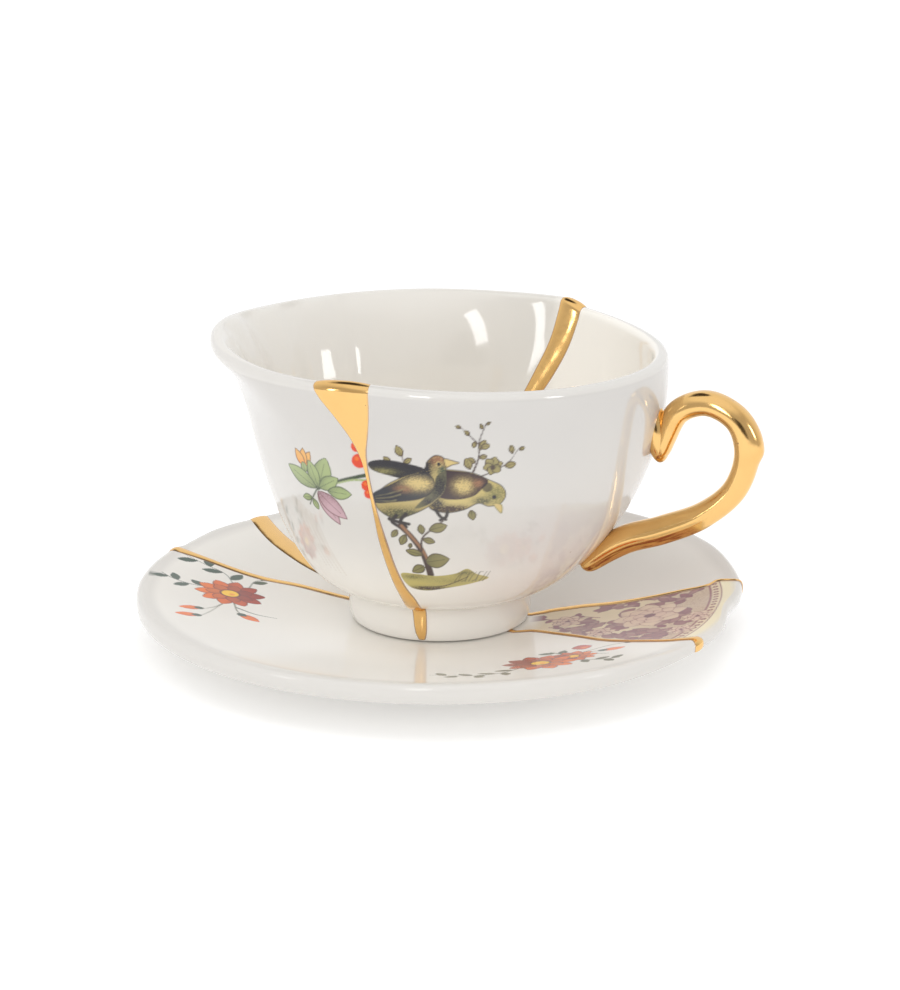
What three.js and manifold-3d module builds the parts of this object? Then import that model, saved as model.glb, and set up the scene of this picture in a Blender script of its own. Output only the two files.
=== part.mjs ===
// A mended teacup on its saucer. Each is put together from sherds of unlike ware, joined by raised
// seams of gold. The handle is gilded all over. Millimetres, Z up: the saucer stands on z = 0 about
// the Z axis, and the front is -Y, so the handle stands out to +X and a little forward.

import * as THREE from 'three';
import Module from 'manifold-3d';
import { mergeVertices } from 'three/addons/utils/BufferGeometryUtils.js';

const wasm = await Module();
wasm.setup();

// Saucer
const saucerRadius = 72.8;
const saucerHeight = 13.6;
const saucerThickness = 4.2;
const saucerEdge = 4.6;
const saucerEdgeRound = 1.8;
const wellRadius = 24;
const wellHeight = 5.2;
const dishCurve = 1.3;
const saucerFootRadius = 43;
const saucerFootWidth = 3.2;
const saucerFootRecess = 1.1;
const backSherdLift = 1.6;
const printedSherdNotch = 2.5;
const wedgeSherdLobe = 0.4;
const thinRimDepth = 2.3;
const thinRimAzimuth = -27;
const thinRimSpread = 25;

// Cup
const cupClearance = 0.3;
const cupHeight = 69.5;
const mouthRadius = 53.6;
const neckRadius = 21.2;
const neckDifference = 0.9;
const footHeight = 9;
const footRadius = 21.6;
const footRingWidth = 2.6;
const footRecess = 5.8;
const rimWall = 3.6;
const footWall = 4.2;
const rightRimDrop = 3.4;
const leftRimRise = 1.6;
const footBulge = 0.35;
const leftRimRiseAzimuth = 175;
const leftRimRiseSpread = 24;
const backRimRise = 0.7;
const backRimRiseAzimuth = 52;
const backRimRiseSpread = 22;
const fluteDepth = 0.7;
const fluteStart = 112;
const fluteEnd = 186;
const fluteFade = 14;
const flutesPerTurn = 18;

// Handle
const handleAzimuth = -18;
const handleReach = 25;
const handleThickness = 5.8;
const handleWidth = 7.5;
const lowerArmSwell = 0.9;
const spurHeight = 1.1;
const upperPadPlace = 0.71;
const upperPadDepth = 2.4; // less than the wall, so the pad doesn't come through it
const upperPadHeight = 7;
const upperPadLean = -0.16;

// Gold seams
const seamProud = 0.45;
const seamMeetingRadius = 1.6;
const seamFloorWidth = 2.4;
const lipLevelRise = 2.5;

const smooth = (x) => {
  const t = Math.min(1, Math.max(0, x));
  return t * t * (3 - 2 * t);
};
const mix = (a, b, t) => a + (b - a) * t;
const bell = (x, middle, width) => Math.exp(-(((x - middle) / width) ** 2));
const radians = THREE.MathUtils.degToRad;
const roundedPower = (x, power) => Math.sign(x) * Math.abs(x) ** power;

// Reads one column of a table of knots, whose first column rises
function between(knots, x, column) {
  const last = knots.length - 1;
  if (x <= knots[0][0]) return knots[0][column];
  if (x >= knots[last][0]) return knots[last][column];
  const i = knots.findIndex((knot) => knot[0] > x) - 1;
  const t = (x - knots[i][0]) / (knots[i + 1][0] - knots[i][0]);
  return mix(knots[i][column], knots[i + 1][column], t);
}

// A closed, merged geometry with no triangle that has shrunk to a line
function closed(geometry) {
  geometry.deleteAttribute('normal');
  geometry.deleteAttribute('uv');
  const merged = mergeVertices(geometry, 1e-4);
  const index = Array.from(merged.index.array);
  const kept = [];
  for (let i = 0; i < index.length; i += 3) {
    const [a, b, c] = index.slice(i, i + 3);
    if (a !== b && b !== c && a !== c) kept.push(a, b, c);
  }
  merged.setIndex(kept);
  return merged;
}

function toSolid(geometry) {
  const vertProperties = new Float32Array(geometry.attributes.position.array);
  const triVerts = new Uint32Array(geometry.index.array);
  return new wasm.Manifold(new wasm.Mesh({ numProp: 3, vertProperties, triVerts }));
}

function toGeometry(solid) {
  const mesh = solid.getMesh();
  const geometry = new THREE.BufferGeometry();
  geometry.setAttribute('position', new THREE.BufferAttribute(mesh.vertProperties, 3));
  geometry.setIndex(new THREE.BufferAttribute(mesh.triVerts, 1));
  return geometry;
}

// The columns of a turned piece, counted round from its first seam. A sherd takes a number of even
// columns, and a seam has four edges of its own: its borders and the shoulders of its bead.
const seamShares = [0, 0.25, 0.75, 1];
function planColumns(sherdColumns) {
  const plan = [];
  sherdColumns.forEach((count, part) => {
    seamShares.slice(0, -1).forEach((share) => plan.push({ part, seam: true, share }));
    for (let k = 0; k < count; k += 1) plan.push({ part, seam: false, share: k / count });
  });
  return plan;
}

// The azimuth, in degrees, of a column where the seams have these centres and widths, in millimetres
function columnAzimuth(column, seams, radius) {
  const half = seams.map((seam) => THREE.MathUtils.radToDeg(seam.width / radius / 2));
  const { part, share } = column;
  const next = (part + 1) % seams.length;
  const turn = next === 0 ? 360 : 0;
  const start = seams[part].azimuth - half[part];
  const end = seams[part].azimuth + half[part];
  if (column.seam) return mix(start, end, share);
  return mix(end, seams[next].azimuth - half[next] + turn, share);
}

// A lathe whose every column and row is then moved to its place
function turned(columns, rows, place) {
  const profile = rows.map((row, j) => new THREE.Vector2(1, j));
  const lathe = new THREE.LatheGeometry(profile, columns.length);
  const position = lathe.attributes.position;
  for (let i = 0; i <= columns.length; i += 1) {
    rows.forEach((row, j) => {
      const { azimuth, radius, z } = place(columns[i % columns.length], row);
      const angle = radians(azimuth);
      position.setXYZ(i * rows.length + j, radius * Math.cos(angle), radius * Math.sin(angle), z);
    });
  }
  return closed(lathe);
}

const isBead = (column) => column.seam && column.share > 0 && column.share < 1;

// The saucer's seams, each a table of distance from the middle, azimuth and width
const saucerSeams = [
  [[22, -36, 2], [25.7, -29, 2], [32, -31, 1.9], [39, -33.6, 1.8], [48, -37, 1.8], [63, -37.2, 2.2],
    [71, -35.8, 3.4], [73, -36.5, 4]],
  [[22, 0, 2.2], [26.5, 4.4, 2.6], [31.7, 4.8, 2.8], [43.3, 1.6, 2.5], [58.5, 1.2, 2], [65.3, 1.4, 1.9],
    [67, 2.8, 1.9], [71.2, 0.7, 1.6]],
  [[22, 136, 4.4], [41, 136.5, 5.6], [51, 135.5, 6.4], [59, 134.5, 6.2], [71.5, 131.6, 5.7]],
  [[26, 152, 2.4], [38.6, 154.5, 2.5], [47, 158, 2.6], [65, 158.2, 2.7], [72, 158.4, 3.8]],
];
const saucerSherds = ['printed', 'back', 'wedge', 'front'];
const saucerColumns = planColumns([10, 22, 6, 27]);

// How far each sherd's rim departs from the round, and how high it stands
function saucerRim(column) {
  const sherd = column.seam ? 'seam' : saucerSherds[column.part];
  const { share } = column;
  const crest = Math.sin(Math.PI * share);
  if (sherd === 'printed') return { out: -printedSherdNotch * bell(share, 0.57, 0.25), up: 0 };
  if (sherd === 'back') return { out: 0.5 * crest, up: backSherdLift * smooth(crest * 2) };
  if (sherd === 'wedge') {
    const lobe = wedgeSherdLobe * Math.sin(Math.PI * Math.min(1, share / 0.6));
    return { out: lobe - smooth((share - 0.4) / 0.6), up: 0 };
  }
  return { out: 0, up: 0 };
}

// How far the rim's underside is raised beside the printed sherd, where the rim is thin
function underRise(azimuth, row) {
  const side = azimuth > 180 ? azimuth - 360 : azimuth;
  const low = row.top ? Math.min(1, Math.max(0, (saucerHeight - row.z) / saucerEdge)) : 1;
  const onEdge = row.top && row.radius < saucerRadius - saucerEdgeRound ? 0 : low;
  return thinRimDepth * bell(side, thinRimAzimuth, thinRimSpread) * onEdge;
}

const dishTop = (radius) => {
  const share = Math.max(0, radius - wellRadius) / (saucerRadius - saucerEdgeRound - wellRadius);
  return wellHeight + (saucerHeight - wellHeight) * share ** dishCurve;
};

// Rows from the middle of the top, out over the rim and back underneath, and then turned round, so
// that they run from the underside up
function saucerRows() {
  const rimStart = saucerRadius - saucerEdgeRound;
  const rows = [0, seamMeetingRadius, wellRadius * 0.5, wellRadius * 0.88, wellRadius + 1.5]
    .map((radius) => ({ radius, z: dishTop(radius), top: true }));
  [0.14, 0.28, 0.44, 0.6, 0.75, 0.88, 1].forEach((share) => {
    const radius = mix(wellRadius + 1.5, rimStart, share);
    rows.push({ radius, z: dishTop(radius), top: true });
  });
  [60, 30, 0, -30, -60].forEach((degrees) => {
    const out = roundedPower(Math.cos(radians(degrees)), 0.7) * saucerEdgeRound;
    const up = roundedPower(Math.sin(radians(degrees)), 0.7) * saucerEdge / 2;
    rows.push({ radius: rimStart + out, z: saucerHeight - saucerEdge / 2 + up, top: true });
  });
  const footTop = dishTop(saucerFootRadius) - saucerThickness;
  rows.push({ radius: rimStart - 0.4, z: saucerHeight - saucerEdge });
  rows.push({ radius: mix(saucerFootRadius, saucerRadius, 0.5), z: dishTop(mix(saucerFootRadius,
    saucerRadius, 0.5)) - saucerThickness });
  rows.push({ radius: saucerFootRadius + 0.8, z: footTop });
  rows.push({ radius: saucerFootRadius, z: 0 });
  rows.push({ radius: saucerFootRadius - saucerFootWidth, z: 0 });
  rows.push({ radius: saucerFootRadius - saucerFootWidth - 0.8, z: saucerFootRecess });
  rows.push({ radius: wellRadius * 0.6, z: saucerFootRecess });
  rows.push({ radius: 0, z: saucerFootRecess });
  return rows.reverse();
}

function makeSaucer() {
  return turned(saucerColumns, saucerRows(), (column, row) => {
    const level = row.top ? row.radius : saucerFootRadius;
    const radius = Math.max(row.radius, 0.001);
    const seams = saucerSeams.map((knots) => ({
      azimuth: between(knots, level, 1),
      width: Math.min(between(knots, level, 2), radius * 1.1),
    }));
    const azimuth = columnAzimuth(column, seams, radius);
    const rim = saucerRim(column);
    const outer = smooth((row.radius - saucerFootRadius - 2) / (saucerRadius - saucerFootRadius - 2));
    const onTop = row.top && row.radius > 0;
    const proud = onTop && (isBead(column) || row.radius <= seamMeetingRadius) ? seamProud : 0;
    const underCup = row.radius < neckRadius + 4 ? 0 : 1;
    return {
      azimuth,
      radius: row.radius + rim.out * outer,
      z: row.z + (rim.up + underRise(azimuth, row)) * outer + proud * underCup,
    };
  });
}

// The cup's walls, as shares of the way out from the neck to the mouth and up from the neck to the
// lip. The left sherd flares to its lip, and the right one is a round bowl.
const leftWall = new THREE.CurvePath();
leftWall.add(new THREE.CubicBezierCurve(
  new THREE.Vector2(0, 0), new THREE.Vector2(0.37, 0.005),
  new THREE.Vector2(0.602, 0.377), new THREE.Vector2(0.731, 0.71)));
leftWall.add(new THREE.CubicBezierCurve(
  new THREE.Vector2(0.731, 0.71), new THREE.Vector2(0.7475, 0.753),
  new THREE.Vector2(0.83, 0.93), new THREE.Vector2(0.985, 1)));
const rightWall = new THREE.CubicBezierCurve(
  new THREE.Vector2(0, 0), new THREE.Vector2(0.345, -0.042),
  new THREE.Vector2(1.073, 0.474), new THREE.Vector2(1, 1));

const cupBase = wellHeight + cupClearance;
const neckZ = cupBase + footHeight;
const flaredLipRise = rimWall * 0.66;
const uprightLipRise = rimWall * 0.5;
const leftRimZ = cupBase + cupHeight - 1.1;
const wallSeamBlend = 0.62;

// How much of the right wall's shape a column has, from 0 to 1
function rightness(column) {
  if (column.seam) return wallSeamBlend;
  const edge = Math.min(column.share, 1 - column.share);
  if (column.part === 0) return mix(wallSeamBlend, 1, smooth(edge / 0.3));
  return wallSeamBlend * (1 - smooth(edge / 0.24));
}

// The rim rises to the left and falls to a low point by the handle
function rimZ(column, azimuth) {
  const left = leftRimZ + leftRimRise * bell(azimuth, leftRimRiseAzimuth, leftRimRiseSpread)
    + backRimRise * bell(azimuth, backRimRiseAzimuth, backRimRiseSpread);
  const side = azimuth > 180 ? azimuth - 360 : azimuth;
  const rise = side < 10 ? 2.8 * ((10 - side) / 116) ** 2 : 1.3 * ((side - 10) / 36) ** 2;
  const right = leftRimZ - rightRimDrop + rise + 1;
  if (!column.seam) return column.part === 0 ? right : left;
  return column.part === 0 ? mix(left, right, column.share) : mix(right, left, column.share);
}

function wallPoint(column, azimuth, t) {
  const w = rightness(column);
  const top = rimZ(column, azimuth) - mix(flaredLipRise, uprightLipRise, w);
  const left = leftWall.getPoint(t);
  const right = rightWall.getPointAt(t);
  const neck = neckRadius + mix(neckDifference, -neckDifference / 3, w);
  return new THREE.Vector2(
    mix(neck, mouthRadius, mix(left.x, right.x, w)),
    mix(neckZ, top, mix(left.y, right.y, w)));
}

function wallNormal(column, azimuth, t) {
  const step = 0.01;
  const low = wallPoint(column, azimuth, Math.max(0, t - step));
  const high = wallPoint(column, azimuth, Math.min(1, t + step));
  const along = high.sub(low).normalize();
  return new THREE.Vector2(along.y, -along.x);
}

const nominalHeight = (t) => mix(neckZ, cupBase + cupHeight, mix(leftWall.getPoint(t).y,
  rightWall.getPointAt(t).y, 0.5)) - cupBase;

// The cup's seams as tables of height over the foot, azimuth and width, outside and inside
const frontSeamOutside = [[0, -101.3, 1.2], [1.4, -101.5, 2.4], [3, -101.7, 3], [8, -102.6, 3.5],
  [14, -102.8, 3.2], [19, -104.6, 2.4], [26, -106.1, 1.95], [31, -106.8, 1.85], [35, -107.3, 1.6],
  [39, -107.7, 1.15], [44, -108.2, 0.85], [50.5, -108.8, 0.8], [52.5, -109, 1], [56, -109.5, 2],
  [60, -110.1, 4.5], [65, -111.7, 8.9], [69, -113.4, 12.8], [71.5, -114, 14]];
const frontSeamInside = [[14, -104, seamFloorWidth], [50, -108, 3], [65, -111, 5], [69, -114, 14]];
const backSeamInside = [[14, 76, seamFloorWidth], [30, 68, 3.4], [43.5, 61, 4.3], [52.5, 55.8, 5.6],
  [60.5, 52, 6.2], [69, 49.8, 7]];
const backSeamOutside = [[0, 68, 1], [3, 67, 2.2], [15, 64, 1.8], [40, 57, 2.4], [60, 52, 4],
  [69, 49.8, 7]];
// The first sherd runs from the front seam past the handle to the back seam
const cupColumns = planColumns([24, 27]);

function cupSeams(row, radius) {
  const tables = row.inside ? [frontSeamInside, backSeamInside] : [frontSeamOutside, backSeamOutside];
  return tables.map((knots) => ({
    azimuth: between(knots, row.level, 1),
    width: Math.min(between(knots, row.level, 2), radius * 1.8),
  }));
}

// Rows from the middle of the underside, over the foot, up the wall, over the lip and down inside
function cupRows() {
  const rows = [
    { radius: 0, z: footRecess, level: 0 },
    { radius: footRadius * 0.75, z: footRecess, level: 0 },
    { radius: footRadius - footRingWidth - 0.5, z: footRecess - 1, level: 0 },
    { radius: footRadius - footRingWidth, z: 0, level: 0 },
    { radius: footRadius - 0.9, z: 0, level: 0 },
    { radius: footRadius - 0.2, z: 1, level: 1, bead: 1 },
    { radius: footRadius + footBulge, z: footHeight * 0.5, level: footHeight * 0.5, bead: 1 },
  ];
  const wallSteps = [0, 0.05, 0.11, 0.18, 0.26, 0.35, 0.45, 0.55, 0.65, 0.74, 0.82, 0.88, 0.94, 1];
  wallSteps.forEach((t) => rows.push({ t, turn: 0, level: nominalHeight(t), bead: 1 }));
  [45, 90, 135].forEach((turn) => {
    const level = cupHeight + lipLevelRise * Math.sin(radians(Math.min(turn, 90)));
    rows.push({ t: 1, turn, level, bead: 1 });
  });
  [...wallSteps].reverse().forEach((t) => {
    rows.push({ t, turn: 180, inside: true, level: nominalHeight(t), bead: 1 });
  });
  [0.62, 0.3].forEach((share) => {
    rows.push({ radius: neckRadius * share, floor: true, inside: true, level: 0, bead: 1 });
  });
  rows.push({ radius: seamMeetingRadius, floor: true, inside: true, level: 0, bead: 1 });
  rows.push({ radius: 0, floor: true, inside: true, level: 0, bead: 1 });
  return rows;
}

// Shallow flutes inside the left sherd
function flute(column, azimuth, t) {
  if (column.seam || column.part === 0) return 0;
  const spread = smooth((azimuth - fluteStart) / fluteFade) * smooth((fluteEnd - azimuth) / fluteFade);
  const wave = Math.sin(radians((azimuth - fluteStart) * flutesPerTurn));
  return fluteDepth * spread * smooth((t - 0.35) / 0.4) * wave;
}

function makeCupBody() {
  const floorZ = neckZ + footWall - 0.4;
  return turned(cupColumns, cupRows(), (column, row) => {
    const reach = row.t === undefined ? Math.max(row.radius, 0.001) : mix(neckRadius, mouthRadius, row.t);
    const azimuth = columnAzimuth(column, cupSeams(row, reach), reach);
    const meeting = row.floor && row.radius <= seamMeetingRadius && row.radius > 0;
    const proud = row.bead && (isBead(column) || meeting) ? seamProud : 0;
    if (row.floor) return { azimuth, radius: row.radius, z: floorZ + (row.radius > 0 ? proud : seamProud) };
    if (row.t === undefined) {
      return { azimuth, radius: row.radius + proud * Number(row.z > 0), z: cupBase + row.z };
    }
    const point = wallPoint(column, azimuth, row.t);
    const normal = wallNormal(column, azimuth, row.t);
    const half = mix(footWall, rimWall, smooth(row.t * 1.5)) / 2;
    const around = radians(row.turn);
    const out = (half + proud) * Math.cos(around) - half + (row.inside ? flute(column, azimuth, row.t) : 0);
    const up = (half + proud) * Math.sin(around);
    return {
      azimuth,
      radius: point.x + normal.x * out - normal.y * up,
      z: point.y + normal.y * out + normal.x * up,
    };
  });
}

// The handle's middle line, as shares of the cup's height over its foot and of the handle's reach
// out from the wall: down the upper end's curl, over the top, round the spur and in to the tail
const handleLine = [[0.629, 0.08], [0.694, 0.085], [0.79, 0.17], [0.825, 0.43], [0.775, 0.72],
  [0.672, 0.87], [0.542, 0.89], [0.443, 0.73], [0.377, 0.45], [0.327, 0.17], [0.225, 0.03]];
const spurPlace = 0.4;

// The wall's outside by the handle, at a height over the foot
function wallRadiusAt(height) {
  const column = { part: 0, seam: false, share: 0.5 };
  let nearest = wallPoint(column, handleAzimuth, 0);
  for (let t = 0; t <= 1; t += 0.01) {
    const point = wallPoint(column, handleAzimuth, t);
    if (Math.abs(point.y - cupBase - height) < Math.abs(nearest.y - cupBase - height)) nearest = point;
  }
  return nearest.x;
}

function handlePath() {
  return new THREE.CatmullRomCurve3(handleLine.map(([heightShare, reachShare]) => {
    const height = heightShare * cupHeight;
    return new THREE.Vector3(wallRadiusAt(height) + reachShare * handleReach, 0, cupBase + height);
  }), false, 'centripetal');
}

// A sphere drawn out along the path, so that both ends are round
function makeHandle() {
  const around = 14;
  const along = 44;
  const sphere = new THREE.SphereGeometry(1, around, along);
  const position = sphere.attributes.position;
  const path = handlePath();
  for (let j = 0; j <= along; j += 1) {
    const u = j / along;
    const centre = path.getPointAt(u);
    const tangent = path.getTangentAt(u);
    const outward = new THREE.Vector3(-tangent.z, 0, tangent.x);
    const endRound = Math.sqrt(Math.max(0, 1 - (1 - Math.min(1, Math.min(u, 1 - u) / 0.05)) ** 2));
    const arm = smooth((u - 0.55) / 0.2) * (1 - smooth((u - 0.86) / 0.14) * 1.6);
    const thick = (handleThickness / 2 - 0.5 * (1 - smooth(u / 0.15)) + lowerArmSwell / 2 * arm) * endRound;
    const wide = (handleWidth / 2 - 0.5 * (1 - smooth(u / 0.15))) * endRound;
    const spur = spurHeight * bell(u, spurPlace, u < spurPlace ? 0.07 : 0.022);
    for (let i = 0; i <= around; i += 1) {
      const angle = (i % around) / around * Math.PI * 2;
      const depth = roundedPower(Math.cos(angle), 0.85) * (thick + (Math.cos(angle) > 0 ? spur : 0));
      const side = roundedPower(Math.sin(angle), 0.85) * wide;
      const point = centre.clone().addScaledVector(outward, depth);
      position.setXYZ(j * (around + 1) + i, point.x, side, point.z);
    }
  }
  return toSolid(closed(sphere));
}

// The pad that bonds the handle's upper end to the wall
function makeUpperPad() {
  const pad = new THREE.SphereGeometry(1, 12, 10);
  const height = upperPadPlace * cupHeight;
  pad.scale(upperPadDepth, handleWidth * 0.42, upperPadHeight);
  pad.rotateY(upperPadLean);
  pad.translate(wallRadiusAt(height), 0, cupBase + height);
  return toSolid(closed(pad));
}

function makeCup() {
  const body = toSolid(makeCupBody());
  const turn = [0, 0, handleAzimuth];
  return toGeometry(body.add(makeHandle().rotate(turn)).add(makeUpperPad().rotate(turn)));
}

const cupMaterial = new THREE.MeshStandardMaterial({ color: 0xece9e5, roughness: 0.12, metalness: 0 });
const saucerMaterial = new THREE.MeshStandardMaterial({ color: 0xefece7, roughness: 0.12, metalness: 0 });

const group = new THREE.Group();
const addPiece = (name, geometry, material) => {
  const mesh = new THREE.Mesh(geometry, material);
  mesh.name = name;
  group.add(mesh);
};
addPiece('saucer', makeSaucer(), saucerMaterial);
addPiece('cup', makeCup(), cupMaterial);

export default group;
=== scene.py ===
import math
import bpy
import numpy as np
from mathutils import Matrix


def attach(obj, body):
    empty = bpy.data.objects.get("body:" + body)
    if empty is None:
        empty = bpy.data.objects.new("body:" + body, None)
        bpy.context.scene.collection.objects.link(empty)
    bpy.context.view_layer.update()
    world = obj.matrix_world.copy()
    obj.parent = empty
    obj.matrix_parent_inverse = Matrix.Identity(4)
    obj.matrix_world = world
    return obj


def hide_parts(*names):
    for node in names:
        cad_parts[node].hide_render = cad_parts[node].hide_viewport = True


# A mended porcelain teacup on its saucer. Both are pieced together from unlike sherds, joined by
# raised seams of gold. Shapes are worked out in millimetres and put into the meshes in metres.

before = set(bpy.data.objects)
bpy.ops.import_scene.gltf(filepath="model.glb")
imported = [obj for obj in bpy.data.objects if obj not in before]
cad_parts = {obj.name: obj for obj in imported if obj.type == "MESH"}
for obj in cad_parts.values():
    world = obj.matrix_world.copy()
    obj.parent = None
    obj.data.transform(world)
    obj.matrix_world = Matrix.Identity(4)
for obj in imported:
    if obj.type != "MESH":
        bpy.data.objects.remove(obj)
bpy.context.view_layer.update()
metre = 0.001
mergeReach = 2e-7  # metres
innermost = 0.6  # the least radius that a seam's width is measured on
outOfReach = 999  # where a point goes that no stroke may touch
print("frame loaded")


# Small tools

def clip01(x):
    return np.clip(x, 0.0, 1.0)


def smoothStep(x):
    t = clip01(x)
    return t * t * (3 - 2 * t)


def mix(a, b, t):
    return a + (b - a) * t


def bell(x, middle, width):
    return np.exp(-((x - middle) / width) ** 2)


def roundedPower(x, power):
    return np.sign(x) * np.abs(x) ** power


def readKnots(knots, x, column):  # a smooth curve through one column of a table of knots
    table = np.array(knots, float)
    xs, ys = table[:, 0], table[:, column]
    slopes = np.diff(ys) / np.diff(xs)
    tangents = np.concatenate([slopes[:1], (slopes[1:] + slopes[:-1]) / 2, slopes[-1:]])
    flat = np.concatenate([[False], slopes[1:] * slopes[:-1] <= 0, [False]])
    tangents[flat] = 0
    x = np.clip(x, xs[0], xs[-1])
    i = np.clip(np.searchsorted(xs, x, side="right") - 1, 0, len(xs) - 2)
    span = xs[i + 1] - xs[i]
    t = (x - xs[i]) / span
    a = (2 * t**3 - 3 * t**2 + 1) * ys[i] + (t**3 - 2 * t**2 + t) * span * tangents[i]
    b = (3 * t**2 - 2 * t**3) * ys[i + 1] + (t**3 - t**2) * span * tangents[i + 1]
    return a + b


def bezier(points, t):
    p = np.array(points, float)[:, :, None]
    s = 1 - t
    return s**3 * p[0] + 3 * s**2 * t * p[1] + 3 * s * t**2 * p[2] + t**3 * p[3]


def evenly(curve, count=400):  # the same curve at even lengths along it
    lengths = np.concatenate([[0], np.cumsum(np.hypot(*np.diff(curve, axis=1)))])
    even = np.linspace(0, lengths[-1], count)
    return np.array([np.interp(even, lengths, line) for line in curve])


# Columns of a turned piece, counted round from its first seam. A seam is laid out by shares of its
# width, and a sherd by shares of the way to the next seam. Levels and widths come from the tables.

def planColumns(sherdColumns, seamShares):
    columns = []
    for number, count in enumerate(sherdColumns):
        columns += [(number, True, share) for share in seamShares]
        columns += [(number, False, k / count) for k in range(count)]
    return tuple(np.array(values) for values in zip(*columns))


def columnAzimuths(columns, tables, level, radius, widest):  # widest is a share of the radius
    part, inSeam, share = columns
    azimuths, widths = (np.array([float(readKnots(table, level, k)) for table in tables]) for k in (1, 2))
    half = np.degrees(np.minimum(widths, widest * radius) / radius / 2)
    following = (part + 1) % len(tables)
    start = azimuths[part] - half[part]
    end = azimuths[part] + half[part]
    onward = azimuths[following] - half[following] + np.where(following == 0, 360, 0)
    return np.where(inSeam, mix(start, end, share), mix(end, onward, share))


def ringPoints(radius, degrees, z):
    angle = np.radians(degrees)
    return np.stack(np.broadcast_arrays(radius * np.cos(angle), radius * np.sin(angle), z), axis=-1)


# The cup

cup = dict(
    base=5.5, height=69.5, mouthRadius=53.6, neckRadius=21.2, neckDifference=0.9,
    footHeight=9.0, footRadius=21.6, footRingWidth=2.6, footRecess=5.8,
    footBulge=0.6, rimWall=3.6, footWall=4.2, rightRimDrop=3.4, leftRimRise=1.6, widestSeam=1.8,
    fluteDepth=0.55, fluteStart=112, fluteEnd=172, fluteFade=14, fluteTurns=18, seamBlend=0.62,
    leftWall=[[(0, 0), (0.37, 0.005), (0.602, 0.377), (0.731, 0.71)],
              [(0.731, 0.71), (0.7475, 0.753), (0.83, 0.93), (0.985, 1)]],
    rightWall=[(0, 0), (0.345, -0.042), (1.073, 0.474), (1, 1)],
)
seam = dict(proud=0.5, saucerProud=0.36, sunk=0.5, bed=0.1, floorWidth=2.4, lipLevelRise=2.5,
            fringe=0.26, fringeShare=0.13,
            shares=(0, 0.02, 0.05, 0.1, 0.2, 0.35, 0.5, 0.65, 0.8, 0.9, 0.95, 0.98, 1))

# Tables of height over the foot, azimuth and width
frontSeamOutside = [
    (0, -101.3, 1.2), (1.4, -101.5, 2.4), (3, -101.7, 3), (8, -102.6, 3.5), (14, -102.8, 3.2),
    (19, -104.6, 2.4), (26, -106.1, 1.95), (31, -106.8, 1.85), (35, -107.3, 1.6), (39, -107.7, 1.15),
    (44, -108.2, 0.85), (50.5, -108.8, 0.8), (52.5, -109, 1), (56, -109.5, 2), (60, -110.1, 4.5),
    (65, -111.7, 8.9), (69, -113.4, 12.8), (71.5, -114, 14)]
frontSeamInside = [(14, -104, seam["floorWidth"]), (50, -108, 3), (65, -111, 5), (69, -114, 14)]
backSeamInside = [
    (14, 76, seam["floorWidth"]), (30, 68, 3.4), (43.5, 61, 4.3), (52.5, 55.8, 5.6), (60.5, 52, 6.2),
    (69, 49.8, 7)]
backSeamOutside = [(0, 68, 1.2), (3, 67, 2.2), (15, 64, 1.8), (40, 57, 2.4), (60, 52, 4), (69, 49.8, 7)]

leftCurve = evenly(np.concatenate(
    [bezier(piece, np.linspace(0, 1, 200)) for piece in cup["leftWall"]], axis=1))
rightCurve = evenly(bezier(cup["rightWall"], np.linspace(0, 1, 400)))
neckZ = cup["base"] + cup["footHeight"]
leftRimZ = cup["base"] + cup["height"] - 1.1


def alongCurve(curve, t):
    steps = np.linspace(0, 1, curve.shape[1])
    return np.interp(t, steps, curve[0]), np.interp(t, steps, curve[1])


def rightness(columns):  # how much of the right wall's shape a column has
    part, inSeam, share = columns
    edge = np.minimum(share, 1 - share)
    right = mix(cup["seamBlend"], 1, smoothStep(edge / 0.3))
    left = cup["seamBlend"] * (1 - smoothStep(edge / 0.24))
    return np.where(inSeam, cup["seamBlend"], np.where(part == 0, right, left))


def rimHeight(columns, azimuth):
    part, inSeam, share = columns
    left = leftRimZ + cup["leftRimRise"] * bell(azimuth, 175, 24) + 0.7 * bell(azimuth, 52, 22)
    side = np.where(azimuth > 180, azimuth - 360, azimuth)
    rise = np.where(side < 10, 2.8 * ((10 - side) / 116) ** 2, 1.3 * ((side - 10) / 36) ** 2)
    right = leftRimZ - cup["rightRimDrop"] + rise + 1
    across = np.where(part == 0, mix(left, right, share), mix(right, left, share))
    return np.where(inSeam, across, np.where(part == 0, right, left))


def wallPoint(columns, azimuth, t):
    w = rightness(columns)
    top = rimHeight(columns, azimuth) - mix(0.66, 0.5, w) * cup["rimWall"]
    leftOut, leftUp = alongCurve(leftCurve, t)
    rightOut, rightUp = alongCurve(rightCurve, t)
    neck = cup["neckRadius"] + mix(cup["neckDifference"], -cup["neckDifference"] / 3, w)
    return (mix(neck, cup["mouthRadius"], mix(leftOut, rightOut, w)),
            mix(neckZ, top, mix(leftUp, rightUp, w)))


def wallNormal(columns, azimuth, t, step=0.01):
    lowR, lowZ = wallPoint(columns, azimuth, max(0, t - step))
    highR, highZ = wallPoint(columns, azimuth, min(1, t + step))
    length = np.hypot(highR - lowR, highZ - lowZ)
    return (highZ - lowZ) / length, -(highR - lowR) / length


def nominalHeight(t):
    up = (alongCurve(leftCurve, t)[1] + alongCurve(rightCurve, t)[1]) / 2
    return mix(neckZ, cup["base"] + cup["height"], up) - cup["base"]


# Rows of the cup, from the middle of the underside over the lip to the middle of the floor. A row
# outside the walls has a radius and a height, and one on the walls has its place along them, t,
# and its turn round the lip.

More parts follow.
